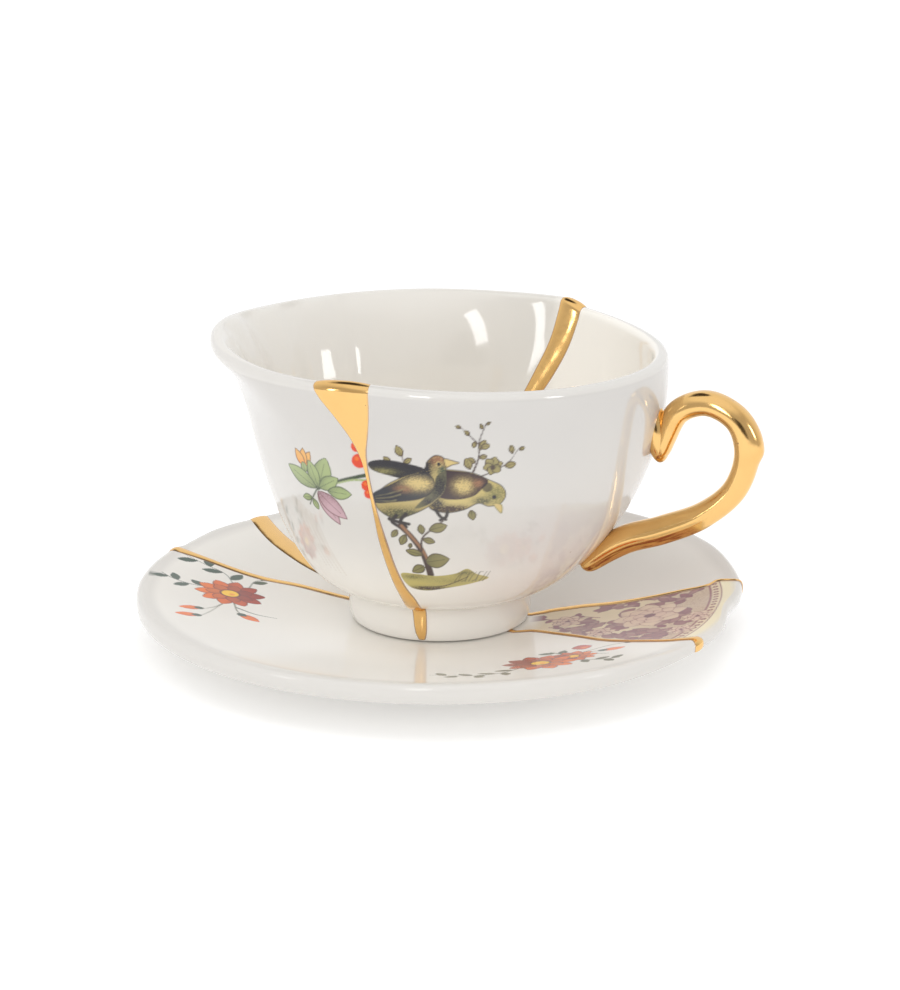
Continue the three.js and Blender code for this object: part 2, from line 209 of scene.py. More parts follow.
def cupRows():
    rows = []
    ring = cup["footRadius"] - cup["footRingWidth"]
    under = [(0, cup["footRecess"]), (8, cup["footRecess"]), (15, cup["footRecess"]),
             (ring - 1.6, cup["footRecess"] - 0.3), (ring - 0.5, cup["footRecess"] - 1.4),
             (ring - 0.2, 1.2), (ring, 0.3), (ring + 0.4, 0), (cup["footRadius"] - 1.1, 0)]
    for radius, z in under:
        rows.append(dict(radius=radius, z=z, level=0, bead=0))
    for degrees in (-60, -30, 0):
        a = math.radians(degrees)
        rows.append(dict(radius=cup["footRadius"] - 1.1 + 0.9 * math.cos(a), z=1.1 + 1.1 * math.sin(a),
                         level=1 + degrees / 60, bead=clip01((degrees + 60) / 45)))
    for share in np.linspace(0.25, 0.88, 7):
        z = share * cup["footHeight"]
        radius = cup["footRadius"] - 0.25 + cup["footBulge"] * math.sin(math.pi * share) ** 0.7
        rows.append(dict(radius=radius, z=z, level=z, bead=1))
    walls = np.concatenate([np.linspace(0, 0.12, 8), np.linspace(0.14, 1, 42)])
    for t in walls:
        rows.append(dict(t=t, turn=0, level=nominalHeight(t), bead=1))
    for turn in np.linspace(0, 180, 12)[1:-1]:
        level = cup["height"] + seam["lipLevelRise"] * math.sin(math.radians(min(turn, 90)))
        rows.append(dict(t=1, turn=turn, level=level, bead=1))
    for t in walls[::-1]:
        rows.append(dict(t=t, turn=180, inside=True, level=nominalHeight(t), bead=1))
    for radius in (19.5, 17.5, 15, 12, 9, 6, 4, 2.4, 1.2, 0):
        rows.append(dict(radius=radius, floor=True, inside=True, level=0, bead=1))
    return rows


def fluteAt(columns, azimuth, t):
    part, inSeam, _ = columns
    start, end, fade = cup["fluteStart"], cup["fluteEnd"], cup["fluteFade"]
    spread = smoothStep((azimuth - start) / fade) * (1 - smoothStep((azimuth - end) / fade))
    wave = np.sin(np.radians((azimuth - start) * cup["fluteTurns"]))
    return np.where(inSeam | (part == 0), 0, cup["fluteDepth"] * spread * smoothStep((t - 0.35) / 0.4) * wave)


def cupGrid(columns, rows, proud):  # proud is the height of each column over the porcelain
    grid = []
    for row in rows:
        t = row.get("t")
        inside = row.get("inside")
        tables = (frontSeamInside, backSeamInside) if inside else (frontSeamOutside, backSeamOutside)
        reach = max(row["radius"], innermost) if t is None else mix(cup["neckRadius"], cup["mouthRadius"], t)
        azimuth = columnAzimuths(columns, tables, row["level"], reach, cup["widestSeam"])
        lift = proud * row["bead"]
        if row.get("floor"):
            radius, z = row["radius"], neckZ + cup["footWall"] - 0.4 + lift
        elif t is None:
            radius, z = row["radius"] + lift, cup["base"] + row["z"]
        else:
            r, z = wallPoint(columns, azimuth, t)
            outR, outZ = wallNormal(columns, azimuth, t)
            half = mix(cup["footWall"], cup["rimWall"], smoothStep(t * 1.5)) / 2
            turn = math.radians(row["turn"])
            out = (half + lift) * math.cos(turn) - half
            if inside:
                out = out + fluteAt(columns, azimuth, t)
            up = (half + lift) * math.sin(turn)
            radius = r + outR * out - outZ * up
            z = z + outZ * out + outR * up
        grid.append(ringPoints(radius, azimuth, z))
    return np.array(grid)


def softenRows(grid, first, last, rounds):  # rounds off the corner between two rows
    for _ in range(rounds):
        middle = (grid[first - 1:last - 1] + grid[first + 1:last + 1]) / 2
        grid[first:last] = mix(grid[first:last], middle, 0.5)
    return grid


# Meshes

def activate(piece):
    bpy.ops.object.select_all(action="DESELECT")
    bpy.context.view_layer.objects.active = piece
    piece.select_set(True)


def named(name):  # the object that was just added
    piece = bpy.context.active_object
    piece.name = name
    piece.data.name = name
    return piece


def editMesh(piece, step, *values):
    activate(piece)
    bpy.ops.object.mode_set(mode="EDIT")
    step(*values)
    bpy.ops.object.mode_set(mode="OBJECT")


def closeUp():
    bpy.ops.mesh.select_all(action="SELECT")
    bpy.ops.mesh.remove_doubles(threshold=mergeReach)
    bpy.ops.mesh.normals_make_consistent(inside=False)


def cutFaces(cuts):
    bpy.ops.mesh.select_mode(type="FACE")
    bpy.ops.mesh.subdivide(number_cuts=cuts)


def gridPiece(name, grid):  # a plane wrapped round onto a grid of points
    rows, columns = grid.shape[:2]
    bpy.ops.mesh.primitive_grid_add(x_subdivisions=columns, y_subdivisions=rows - 1, size=1)
    piece = named(name)
    flat = readPoints(piece.data)
    column = np.rint((flat[:, 0] + 0.5) * columns).astype(int)
    row = np.rint((flat[:, 1] + 0.5) * (rows - 1)).astype(int)
    placePoints(piece, grid[row, column % columns])
    setFloats(piece, "around", column)
    setFloats(piece, "along", row)
    editMesh(piece, closeUp)
    return piece


def placePoints(piece, points):
    piece.data.vertices.foreach_set("co", (points * metre).ravel())


def setFloats(piece, name, values):
    attribute = piece.data.attributes.new(name, "FLOAT", "POINT")
    attribute.data.foreach_set("value", values.astype(np.float32))


def readFloats(mesh, name):
    values = np.empty(len(mesh.vertices), np.float32)
    mesh.attributes[name].data.foreach_get("value", values)
    return values.astype(float)


def gridPlaces(mesh):
    return readFloats(mesh, "around"), readFloats(mesh, "along")


def readPoints(mesh):
    flat = np.empty(len(mesh.vertices) * 3)
    mesh.vertices.foreach_get("co", flat)
    return flat.reshape(-1, 3)


def cubicWeights(t):
    return [(-t**3 + 2 * t**2 - t) / 2, (3 * t**3 - 5 * t**2 + 2) / 2,
            (-3 * t**3 + 4 * t**2 + t) / 2, (t**3 - t**2) / 2]


def sampleGrid(grid, around, along):  # a smooth surface through the grid's points
    rows, columns = grid.shape[:2]
    column, row = np.floor(around).astype(int), np.floor(along).astype(int)
    total = np.zeros((len(around), 3))
    for i, rowWeight in enumerate(cubicWeights(along - row)):
        for j, columnWeight in enumerate(cubicWeights(around - column)):
            at = grid[np.clip(row + i - 1, 0, rows - 1), (column + j - 1) % columns]
            total += at * (rowWeight * columnWeight)[:, None]
    return total


def refine(piece, grid, wanted, cuts):  # finer faces where a picture is printed
    mesh = piece.data
    chosen = wanted(readFloats(mesh, "along"), readPoints(mesh) / metre)
    for items in (mesh.vertices, mesh.edges):
        items.foreach_set("select", np.zeros(len(items), bool))
    mesh.polygons.foreach_set(
        "select", np.array([chosen[list(face.vertices)].all() for face in mesh.polygons]))
    editMesh(piece, cutFaces, cuts)
    around, along = gridPlaces(mesh)
    inner = (np.abs(around - np.rint(around)) > 1e-4) | (np.abs(along - np.rint(along)) > 1e-4)
    points = readPoints(mesh)
    points[inner] = sampleGrid(grid, around[inner], along[inner]) * metre
    mesh.vertices.foreach_set("co", points.ravel())
    mesh.update()


def beadHeight(share, proud):  # a seam's low crown, and its edges just under the porcelain
    return proud * (1 - np.abs(2 * share - 1) ** 2.6) - 0.05


def seamStrips(makeGrid, part, rows, proud):  # the crown of one seam and its underside
    shares = np.array(seam["shares"])
    columns = (np.full(len(shares), part), np.full(len(shares), True), shares)
    return [makeGrid(columns, rows, beadHeight(shares, proud)),
            makeGrid(columns, rows, np.full(len(shares), -seam["sunk"]))]


def ribbonPiece(name, top, bottom):  # a closed gold band between two strips of the same rows
    shares = np.array(seam["shares"])
    ring = np.concatenate([top, bottom[:, ::-1]], axis=1)
    ends = [np.repeat(ring[i].mean(axis=0)[None, None], ring.shape[1], axis=1) for i in (0, -1)]
    piece = gridPiece(name, np.concatenate([ends[0], ring, ends[1]]))
    width = np.linalg.norm(top[:, -1] - top[:, 0], axis=1)[:, None]
    dark = np.minimum(seam["fringe"], seam["fringeShare"] * width)
    table = np.ones((len(top) + 2, 2 * len(shares) + 1))
    table[1:-1, :len(shares)] = clip01(1.3 - np.minimum(shares, 1 - shares) * width / dark)
    around, along = (np.rint(places).astype(int) for places in gridPlaces(piece.data))
    gilded(piece, table[along, around])


# Camera

camera = dict(x=2.35, distance=630.0, elevation=16.2, aimZ=35.0, lens=96.0, sensor=36, shiftUp=0.001)


def makeCamera():
    tilt = math.radians(camera["elevation"])
    y = -camera["distance"] * math.cos(tilt)
    z = camera["aimZ"] + camera["distance"] * math.sin(tilt)
    bpy.ops.object.camera_add(location=(camera["x"] * metre, y * metre, z * metre),
                              rotation=(math.pi / 2 - tilt, 0, 0))
    made = bpy.context.active_object
    made.data.lens = camera["lens"]
    made.data.sensor_width = camera["sensor"]
    made.data.shift_y = camera["shiftUp"]
    bpy.context.scene.camera = made


makeCamera()
print("camera set")


# Shader maths

class Socket:
    def __init__(self, tree, link):
        self.tree, self.link = tree, link

    def maths(self, operation, first, second):
        return node(self.tree, "ShaderNodeMath", {0: first, 1: second}, operation=operation)

    def __add__(self, other):
        return self.maths("ADD", self, other)

    def __radd__(self, other):
        return self.maths("ADD", other, self)

    def __sub__(self, other):
        return self.maths("SUBTRACT", self, other)

    def __rsub__(self, other):
        return self.maths("SUBTRACT", other, self)

    def __mul__(self, other):
        return self.maths("MULTIPLY", self, other)

    def __rmul__(self, other):
        return self.maths("MULTIPLY", other, self)


def setInputs(tree, made, inputs):
    for name, value in inputs.items():
        if isinstance(value, Socket):
            tree.links.new(value.link, made.inputs[name])
        else:
            made.inputs[name].default_value = value


def node(tree, kind, inputs, output=0, **settings):
    made = tree.nodes.new(kind)
    for name, value in settings.items():
        setattr(made, name, value)
    setInputs(tree, made, inputs)
    return Socket(tree, made.outputs[output])


def newMaterial(name):
    material = bpy.data.materials.new(name)
    material.use_nodes = True
    tree = material.node_tree
    return material, tree, tree.nodes["Principled BSDF"]


def objectPlace(tree):
    return node(tree, "ShaderNodeTexCoord", {}, 3)


def noise(tree, scale, detail):
    return node(tree, "ShaderNodeTexNoise", {"Vector": objectPlace(tree), "Scale": scale, "Detail": detail})


def bump(tree, height, distance, strength):
    return node(tree, "ShaderNodeBump", {"Height": height, "Distance": distance, "Strength": strength})


def ramp01(tree, value, low, high):
    return node(tree, "ShaderNodeMapRange", {"Value": value, "From Min": low, "From Max": high},
                interpolation_type="SMOOTHSTEP")


def mixColors(tree, factor, first, second):
    return node(tree, "ShaderNodeMix", {0: factor, 6: first, 7: second}, 2, data_type="RGBA")


glaze = dict(clouds=(0.80, 0.75, 0.68, 1), cloudShare=0.10, specks=(0.42, 0.30, 0.18, 1), speckShare=0.55,
             roughness=0.06, ripple=0.00004, coatRoughness=0.03)


def makeGlaze(name, index, coat):
    material, tree, shader = newMaterial(name)
    paint = node(tree, "ShaderNodeAttribute", {}, attribute_name="paint")
    cloud = ramp01(tree, noise(tree, 38, 2), 0.35, 0.75) * glaze["cloudShare"]
    toned = mixColors(tree, cloud, paint, glaze["clouds"])
    dots = node(tree, "ShaderNodeTexVoronoi", {"Vector": objectPlace(tree), "Scale": 95.0})
    chance = ramp01(tree, noise(tree, 61, 0), 0.60, 0.64)
    speck = (1 - ramp01(tree, dots, 0.02, 0.045)) * chance * glaze["speckShare"]
    setInputs(tree, shader, {
        "IOR": index, "Coat Roughness": glaze["coatRoughness"], "Coat Weight": coat,
        "Base Color": mixColors(tree, speck, toned, glaze["specks"]),
        "Roughness": noise(tree, 20, 1) * 0.04 + glaze["roughness"],
        "Normal": bump(tree, noise(tree, 55, 1), glaze["ripple"], 0.6)})
    return material


gold = dict(color=(0.89, 0.56, 0.215, 1), deep=(0.70, 0.40, 0.13, 1), stain=(0.16, 0.10, 0.09, 1),
            fringe=(0.34, 0.26, 0.27, 1), deepShare=0.35, stainShare=0.7, fringeMetal=0.2,
            roughness=0.10, ripple=0.00012)


def makeGold(name):
    material, tree, shader = newMaterial(name)
    fringe = node(tree, "ShaderNodeAttribute", {}, 2, attribute_name="fringe")
    cloud = ramp01(tree, noise(tree, 130, 3), 0.45, 0.8) * gold["deepShare"]
    toned = mixColors(tree, cloud, gold["color"], gold["deep"])
    pits = ramp01(tree, noise(tree, 900, 2), 0.70, 0.76) * ramp01(tree, noise(tree, 160, 1), 0.52, 0.6)
    stained = mixColors(tree, pits * gold["stainShare"], toned, gold["stain"])
    waves = noise(tree, 170, 1) + noise(tree, 520, 1) * 0.18
    setInputs(tree, shader, {
        "IOR": 1.5, "Base Color": mixColors(tree, fringe, stained, gold["fringe"]),
        "Metallic": 1 - fringe * (1 - gold["fringeMetal"]),
        "Roughness": noise(tree, 240, 2) * 0.10 + gold["roughness"] + pits * 0.3,
        "Normal": bump(tree, waves, gold["ripple"], 0.8)})
    return material


cupGlaze = makeGlaze("cup_glaze", 1.5, 0.35)
saucerGlaze = makeGlaze("saucer_glaze", 1.34, 0.0)
goldLustre = makeGold("gold_lustre")
print("materials made")


def finished(piece, material, slot, *nodes):
    piece.data.materials.clear()
    piece.data.materials.append(material)
    activate(piece)
    bpy.ops.object.shade_smooth()
    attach(piece, "root")
    if nodes:
        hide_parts(*nodes)


def gilded(piece, fringe, *nodes):
    setFloats(piece, "fringe", fringe)
    finished(piece, goldLustre, "gold_lustre", *nodes)


# Painting. A picture is laid down stroke by stroke on the points of a mesh, in millimetres on a
# flat sheet before the piece.

def tint(red, green, blue):  # a colour as seen, made linear
    c = np.array([red, green, blue], float) / 255
    return np.where(c <= 0.04045, c / 12.92, ((c + 0.055) / 1.055) ** 2.4)


def edgeCover(depth, soft=0.2):  # 1 inside an edge and 0 outside it, over a soft width
    return clip01(depth / soft + 0.5)


def smoothLine(points, closed=False, steps=12):
    p = np.array(points, float)
    if closed:
        p = np.concatenate([p[-1:], p, p[:2]])
    else:
        p = np.concatenate([2 * p[:1] - p[1:2], p, 2 * p[-1:] - p[-2:-1]])
    t = np.linspace(0, 1, steps, endpoint=False)[:, None]
    weights = cubicWeights(t)
    line = [sum(w * p[i + k] for k, w in enumerate(weights)) for i in range(len(p) - 3)]
    return np.concatenate(line + [p[-2:-1]])


class Picture:
    def __init__(self, x, y, color, seed):
        self.x, self.y, self.color = x, y, color
        self.grain = np.random.default_rng(seed).random(len(x))

    def near(self, x0, y0, x1, y1, margin=0.6):
        return np.nonzero((self.x > x0 - margin) & (self.x < x1 + margin)
                          & (self.y > y0 - margin) & (self.y < y1 + margin))[0]

    def lay(self, at, cover, color):
        cover = clip01(cover)[:, None]
        self.color[at] = self.color[at] * (1 - cover) + pigment(color) * cover

    def within(self, mask, paint, *values):  # paints, and keeps what falls on the mask
        before = self.color.copy()
        paint(self, *values)
        self.color = np.where(mask[:, None], self.color, before)

    def stipple(self, at, strength):  # how far a dotted shade covers each point
        return clip01(strength * (1.25 - 0.75 * self.grain[at]))

    def stroke(self, points, color, width=0.35, taper=0.6, strength=1.0):
        line = smoothLine(points)
        at = self.near(*line.min(axis=0), *line.max(axis=0), width + 0.5)
        if len(at):
            away = np.hypot(self.x[at][:, None] - line[:, 0], self.y[at][:, None] - line[:, 1])
            nearest = away.argmin(axis=1)
            half = width / 2 * (1 - taper * nearest / len(line))
            self.lay(at, edgeCover(half - away.min(axis=1), 0.26) * strength, color)

    def leaf(self, x, y, angle, length, width, inks, blunt=1.0, vein=True):
        color, shade, line = inks
        c, s = math.cos(math.radians(angle)), math.sin(math.radians(angle))
        at = self.near(x - length, y - length, x + length, y + length)
        u = ((self.x[at] - x) * c + (self.y[at] - y) * s) / length
        v = -(self.x[at] - x) * s + (self.y[at] - y) * c
        inside = (u > 0) & (u < 1)
        at, u, v = at[inside], u[inside], v[inside]
        half = width / 2 * np.sin(np.pi * u ** blunt) ** 0.8
        depth = half - np.abs(v)
        cover = edgeCover(depth)
        self.lay(at, cover, color)
        dark = smoothStep(0.75 - u * 1.3) + 0.5 * smoothStep(v / width * 2)
        self.lay(at, cover * self.stipple(at, dark * 0.7), shade)
        if line is not None:
            rim = edgeCover(0.13 - np.abs(depth - 0.1), 0.2) * edgeCover(depth + 0.2)
            self.lay(at, rim * 0.85, line)
            if vein:
                self.lay(at, cover * edgeCover(0.08 - np.abs(v), 0.2) * (u < 0.8) * 0.7, line)

    def leaves(self, rows, inks, *values):
        for row in rows:
            self.leaf(*row, inks, *values)

    def dot(self, x, y, radius, color, strength=1.0):
        at = self.near(x, y, x, y, radius + 0.4)
        away = np.hypot(self.x[at] - x, self.y[at] - y)
        self.lay(at, edgeCover(radius - away) * strength, color)

    def wash(self, x, y, wide, high, color, strength):  # a soft breath of colour
        at = self.near(x, y, x, y, 3 * max(wide, high))
        self.lay(at, self.cloud(at, x, y, wide, high) * strength, color)

    def cloud(self, at, x, y, wide, high):
        return np.exp(-(((self.x[at] - x) / wide) ** 2 + ((self.y[at] - y) / high) ** 2))

    def shape(self, points, color, line, shades=()):
        edge = smoothLine(points, closed=True, steps=8)[:-1]
        at = self.near(*edge.min(axis=0), *edge.max(axis=0))
        if not len(at):
            return
        x, y = self.x[at][:, None], self.y[at][:, None]
        after = np.roll(edge, -1, axis=0)
        crosses = (edge[:, 1] > y) != (after[:, 1] > y)
        slope = (after[:, 0] - edge[:, 0]) / (after[:, 1] - edge[:, 1] + 1e-12)
        inside = (crosses & (x < edge[:, 0] + (y - edge[:, 1]) * slope)).sum(axis=1) % 2 == 1
        span = after - edge
        t = clip01(((x - edge[:, 0]) * span[:, 0] + (y - edge[:, 1]) * span[:, 1]) / (span ** 2).sum(axis=1))
        away = np.hypot(x - edge[:, 0] - t * span[:, 0], y - edge[:, 1] - t * span[:, 1]).min(axis=1)
        depth = np.where(inside, away, -away)
        cover = edgeCover(depth)
        self.lay(at, cover, color)
        for shade, place, strength in shades:  # dotted clouds of shade inside it
            self.lay(at, cover * self.stipple(at, self.cloud(at, *place) * strength), shade)
        if line:
            self.lay(at, edgeCover(0.13 - np.abs(depth), 0.2) * 0.8, line)


# Tints of the porcelain, among them painted light and painted shade, and inks

# The foot tint is painted light: a paler colour where the walls and the dish lie in shade.
tints = dict(body=tint(220, 217, 212), foot=tint(254, 251, 245), dish=tint(236, 233, 227),
             # The upper tint is painted shade, a darker colour for the cup's upper outer wall.
             cream=tint(252, 248, 240), inside=tint(236, 232, 224), upper=tint(209, 206, 202),
             # The back sherd shade is painted shade on the saucer at the back right, behind the cup.
             backSherdShade=tint(200, 190, 182))
ink = dict(night=tint(24, 20, 30), slate=tint(44, 54, 66), cream=tint(212, 188, 124),
           buff=tint(150, 106, 74), olive=tint(136, 130, 78), moss=tint(84, 84, 54),
           bark=tint(60, 40, 38), leaf=tint(160, 176, 116), leafDark=tint(56, 72, 48),
           bud=tint(236, 174, 84), berry=tint(222, 62, 6), lilac=tint(202, 166, 176),
           plum=tint(92, 34, 42), ground=tint(200, 186, 108), petal=tint(208, 58, 0),
           petalPale=tint(240, 116, 8), crimson=tint(104, 8, 6), yolk=tint(255, 200, 0),
           teal=tint(44, 70, 58), wheat=tint(184, 164, 140))
printInks = dict(dark=tint(124, 26, 48), ground=tint(222, 202, 164), pink=tint(196, 136, 140),
                 edge=tint(238, 226, 190))
darkLeaf = ("olive", "moss", "bark")  # its colour, its shade and its line
paleLeaf = ("leaf", "leafDark", "leafDark")


def pigment(color):  # from a colour, the name of an ink, or two names and the share of the second
    if isinstance(color, tuple):
        return mix(ink[color[0]], ink[color[1]], color[2])
    return ink[color] if isinstance(color, str) else color


# The birds and sprays on the cup, in millimetres round the wall from the front and up from the
# ground

def paintRearBird(sheet):  # it looks down to the right
    sheet.shape([(-2.6, 55.4), (-7.6, 57), (-12.6, 57.4), (-15.8, 56.4), (-14.8, 54.6), (-10, 53.4),
                 (-5, 52.6)], "night", None, [("olive", (-12.2, 54.6, 2.6, 0.7), 1)])
    sheet.shape([(-0.6, 55.4), (3.8, 55.6), (7.8, 54.8), (11, 53.2), (13.8, 51.6), (14.8, 49.4),
                 (13.6, 47.2), (11, 46.6), (8.6, 47.4), (5.4, 45.8), (1.6, 45), (-1.8, 45.8),
                 (-2.4, 48.2), (-0.8, 51.6)], ("cream", "ground", 0.4), "night",
                [("olive", (12.8, 49.6, 2.6, 2.4), 1.2), ("bark", (2.6, 45.8, 5.4, 1.1), 1.5),
                 ("night", (-0.6, 47.2, 1.6, 1.6), 1.2), ("moss", (9.4, 48, 2, 1), 1.2)])
    sheet.shape([(-0.8, 55.2), (3.8, 55.5), (7.8, 54.7), (10.8, 53), (9.2, 50.8), (7.4, 49.2),
                 (4, 48.4), (0.2, 48.8), (-0.9, 51.6)], ("night", "plum", 0.2), None,
                [("cream", (5.3, 51.7, 2, 1.7), 1.5), ("buff", (8.6, 52.4, 1.2, 0.9), 1.2)])
    sheet.dot(10.6, 51.4, 1.2, "night", 0.75)
    sheet.shape([(12, 47.2), (13.9, 46.8), (13.8, 44.7)], "cream", "olive")
    sheet.dot(12.2, 48.9, 0.5, "night")
    for points in ([(-0.8, 45.6), (0.2, 44), (1.4, 43.2)], [(1.8, 45.2), (1.4, 43.8), (0.2, 43)]):
        sheet.stroke(points, "night", 0.8, 0.1)


def paintFrontBird(sheet):  # it looks to the right
    sheet.shape([(-3.6, 55.4), (-2.6, 57.6), (-0.9, 59.1), (0.9, 58.6), (1.6, 56.6), (1.2, 54.4),
                 (1.5, 52.2), (0.6, 49.6), (-2.2, 46.6), (-6, 44.2), (-9.8, 42.8), (-13.2, 44.4),
                 (-14.4, 47), (-12.4, 50.6), (-8.2, 53.4)], ("cream", "olive", 0.3), "night",
                [("moss", (-8, 43.8, 6, 1.9), 1.5), ("buff", (-0.8, 58.2, 2.4, 1.6), 1.3),
                 ("night", (-3.4, 56, 1.7, 2.6), 2), ("teal", (0.6, 55.6, 1.2, 1.2), 1)])
    sheet.shape([(1.3, 55.4), (1.4, 52.2), (0.5, 49.7), (-2.4, 46.9), (-5.4, 45.8), (-3.2, 48.6),
                 (-1.2, 51), (-0.6, 54)], ("slate", "olive", 0.5), None,
                [("night", (0.2, 51.2, 1.8, 3.4), 1.2), ("night", (-2.4, 47.6, 1.6, 1), 1)])
    sheet.shape([(-1, 52.4), (-2.6, 54.6), (-6.2, 54), (-10.4, 51.6), (-15, 48.6), (-14.4, 46.6),
                 (-9.6, 47.2), (-4.6, 48.2), (-2, 49.8)], ("slate", "night", 0.6), "night",
                [("cream", (-4.7, 52, 2.9, 1.5), 1.7), ("buff", (-7.8, 50.6, 2, 0.9), 1)])
    for k in range(5):
        feather = [(-7.6 - 0.5 * k, 50.6 - 0.75 * k), (-11, 49.2 - 0.5 * k), (-14.2, 48.2 - 0.3 * k)]
        sheet.stroke(feather, "night" if k % 2 else ("teal", "cream", 0.35), 0.32, 0.5, 0.8)
    sheet.shape([(1.1, 58.3), (3, 57.9), (4.3, 57.4), (2.8, 56.9), (1.5, 56.4)], "cream", "bark")
    sheet.dot(-0.1, 57, 0.62, "cream")
    sheet.dot(-0.1, 57, 0.46, "night")
    for points in ([(-7.4, 44.2), (-8.6, 42.4), (-7.4, 40.8)], [(-9.6, 43.6), (-10.6, 42), (-8.8, 40.6)],
                   [(-11.2, 42.6), (-9.2, 42), (-6.8, 41.6)]):
        sheet.stroke(points, "night", 0.9, 0.1)


def paintTwig(sheet, points, leaves, thick=0.5):  # leaves as place, angle and length
    sheet.stroke(points, "bark", thick, 0.5)
    sheet.leaves([(*leaf, leaf[-1] * 0.62) for leaf in leaves], (("olive", "cream", 0.25), "bark", "bark"))


def paintBirds(sheet):
    paintTwig(sheet, [(7.2, 54.6), (8.6, 58.6), (8.8, 62.6), (10.2, 66.4)],
              [(8, 57.4, 150, 2.2), (8.6, 58.6, 10, 2), (8.8, 60.4, 60, 2.8), (8.9, 61, 12, 2.4),
               (9.6, 65.2, 120, 1.5), (10.2, 66.2, 30, 1.2)])
    paintTwig(sheet, [(8.8, 61.6), (7, 63.4), (4.4, 66)],
              [(8, 62.6, 250, 1.8), (6.6, 63.8, 130, 1.7), (4.8, 65.6, 160, 1.4)], 0.35)
    paintTwig(sheet, [(8.8, 54), (12.2, 55.4), (15.4, 57.4), (17.8, 60.6)],
              [(6.8, 55.8, 110, 3), (14.4, 56.4, 10, 2.8), (16.2, 59.2, 100, 2.2),
               (17.6, 60, 20, 1.6)], 0.35)
    sheet.leaves([(11.8, 56.6, 15 + 60 * k, 2.3, 2.2) for k in range(6)],
                 (("olive", "cream", 0.2), "moss", "bark"), 0.8, False)
    sheet.dot(11.8, 56.2, 0.6, "bark", 0.9)
    paintTwig(sheet, [(-7.6, 54.4), (-7.8, 57.2), (-9, 60.4)],
              [(-7.8, 56.8, 40, 2.2), (-8.2, 58.4, 115, 3), (-10.6, 56.6, 140, 2.4)], 0.4)
    paintRearBird(sheet)
    paintFrontBird(sheet)
    sheet.leaf(7, 45.8, -80, 2.8, 1.9, darkLeaf)
    for points, color, width, taper in (
            ([(-8.8, 41), (-6.4, 38.4), (-4, 34.6), (-2.6, 30.4), (-2, 27.8)], "bark", 1.3, -0.2),
            ([(-8.4, 41), (-6.2, 38.2), (-3.8, 34.8), (-2.4, 31.4)], "buff", 0.75, 0.2),
            ([(-4, 34.6), (-3.8, 38), (-1.6, 40.6), (0.8, 42.8)], "bark", 0.5, 0.2)):
        sheet.stroke(points, color, width, taper)
    sheet.leaves([(x, y, angle, length, length * 0.6) for x, y, angle, length in (
        (-3.8, 39, 100, 2.8), (-2.4, 40.2, 20, 4.4), (-3.8, 37.8, -15, 3), (-9.4, 40, 240, 2.6),
        (-7.6, 38.8, 250, 3.2), (-6.4, 36.6, 260, 1.6))], darkLeaf)
    sheet.leaf(-3.6, 33.4, 165, 4.2, 2, darkLeaf)
    sheet.leaves([(-3, 31.4, 12, 5.4, 4.2), (-3.4, 30.2, 215, 3.4, 2.6)], darkLeaf, 0.8)
    ground = [(-8.8, 27.6), (-5, 27.8), (-1, 27.4), (3.6, 28.2), (6.2, 29.6), (8.4, 28), (11.2, 26.6),
              (7, 25), (2, 23.8), (-3, 22.8), (-6.8, 23.8)]
    sheet.shape(ground, "ground", None,
                [("moss", (-5.5, 26.9, 3.4, 0.8), 0.7), ("moss", (5.6, 28.4, 2.8, 1.1), 0.75),
                 ("bark", (-1.6, 23.4, 5.4, 0.7), 1.3), ("olive", (2, 26, 6, 1.5), 0.5)])
    for k in range(9):
        x = 3.4 + 0.8 * k
        blade = [(x, 25.8), (x + 0.9, 27.4 + math.sin(2.3 * k)), (x + 1.8, 28.6)]
        sheet.stroke(blade, "moss", 0.3, 0.5, 0.7)
    sheet.stroke([(-4.6, 23.8), (0.6, 24.3), (3.6, 25.6), (6.4, 27.2)], "bark", 0.35, 0.3)


def paintSpray(sheet):  # the spray on the left sherd
    for points, color, width, taper in (
            ([(-15.2, 53.6), (-19, 52.4), (-23.6, 50.6), (-29.2, 47.4)], "leafDark", 1, 0.3),
            ([(-15.6, 52), (-19.8, 51.6), (-24, 50)], "leaf", 0.6, 0.3),
            ([(-29.2, 47.6), (-31.4, 50.4), (-32.6, 52.6)], "leafDark", 0.6, 0.2)):
        sheet.stroke(points, color, width, taper)
    sheet.leaves([(-33, 52.6, angle, 4.6, 2.5) for angle in (62, 90, 122)],
                 ("bud", "petalPale", "bark"), 0.8, False)
    sheet.leaves([(-32.6, 50.8, 104, 2.8, 2.2), (-28.8, 47.8, 74, 8.6, 5), (-28.8, 47.8, 112, 7.2, 3.4),
                  (-28.8, 47.8, 34, 6.6, 3.6), (-29.4, 47.6, 158, 10, 4.2), (-26.4, 47.6, 2, 6.4, 3.4)],
                 paleLeaf)
    sheet.stroke([(-29.6, 47), (-31, 44.6), (-32, 42.6)], "leafDark", 0.45, 0.3)
    sheet.leaves([(-31, 44.8, 195, 3.4, 1.9), (-30.9, 44.6, -60, 3.2, 1.7)], paleLeaf)
    sheet.leaves([(-29.2, 46.8, -52, 9.6, 3.6), (-29.2, 46.8, -36, 9.6, 4.2)],
                 ("lilac", "plum", "plum"), 0.85)
    for x, y, size in ((-18, 56.6, 1.75), (-18.6, 60, 1.25), (-16.2, 50.6, 1.4), (-15.8, 48.6, 1.2)):
        sheet.dot(x, y, size, "berry")
        sheet.dot(x - 0.3 * size, y + 0.3 * size, 0.3 * size, "petalPale", 0.8)
    for k in range(5):  # the pale plumes below it
        x = -38.0 + 1.6 * k
        sheet.stroke([(x, 42.0 - 0.8 * k), (x + 3.6, 34.0 - 0.5 * k), (x + 8.5, 25.5 - 0.3 * k)],
                     "wheat", 2.6, 0.8, 0.13)


# The flowers and the printed picture on the saucer, in millimetres from above

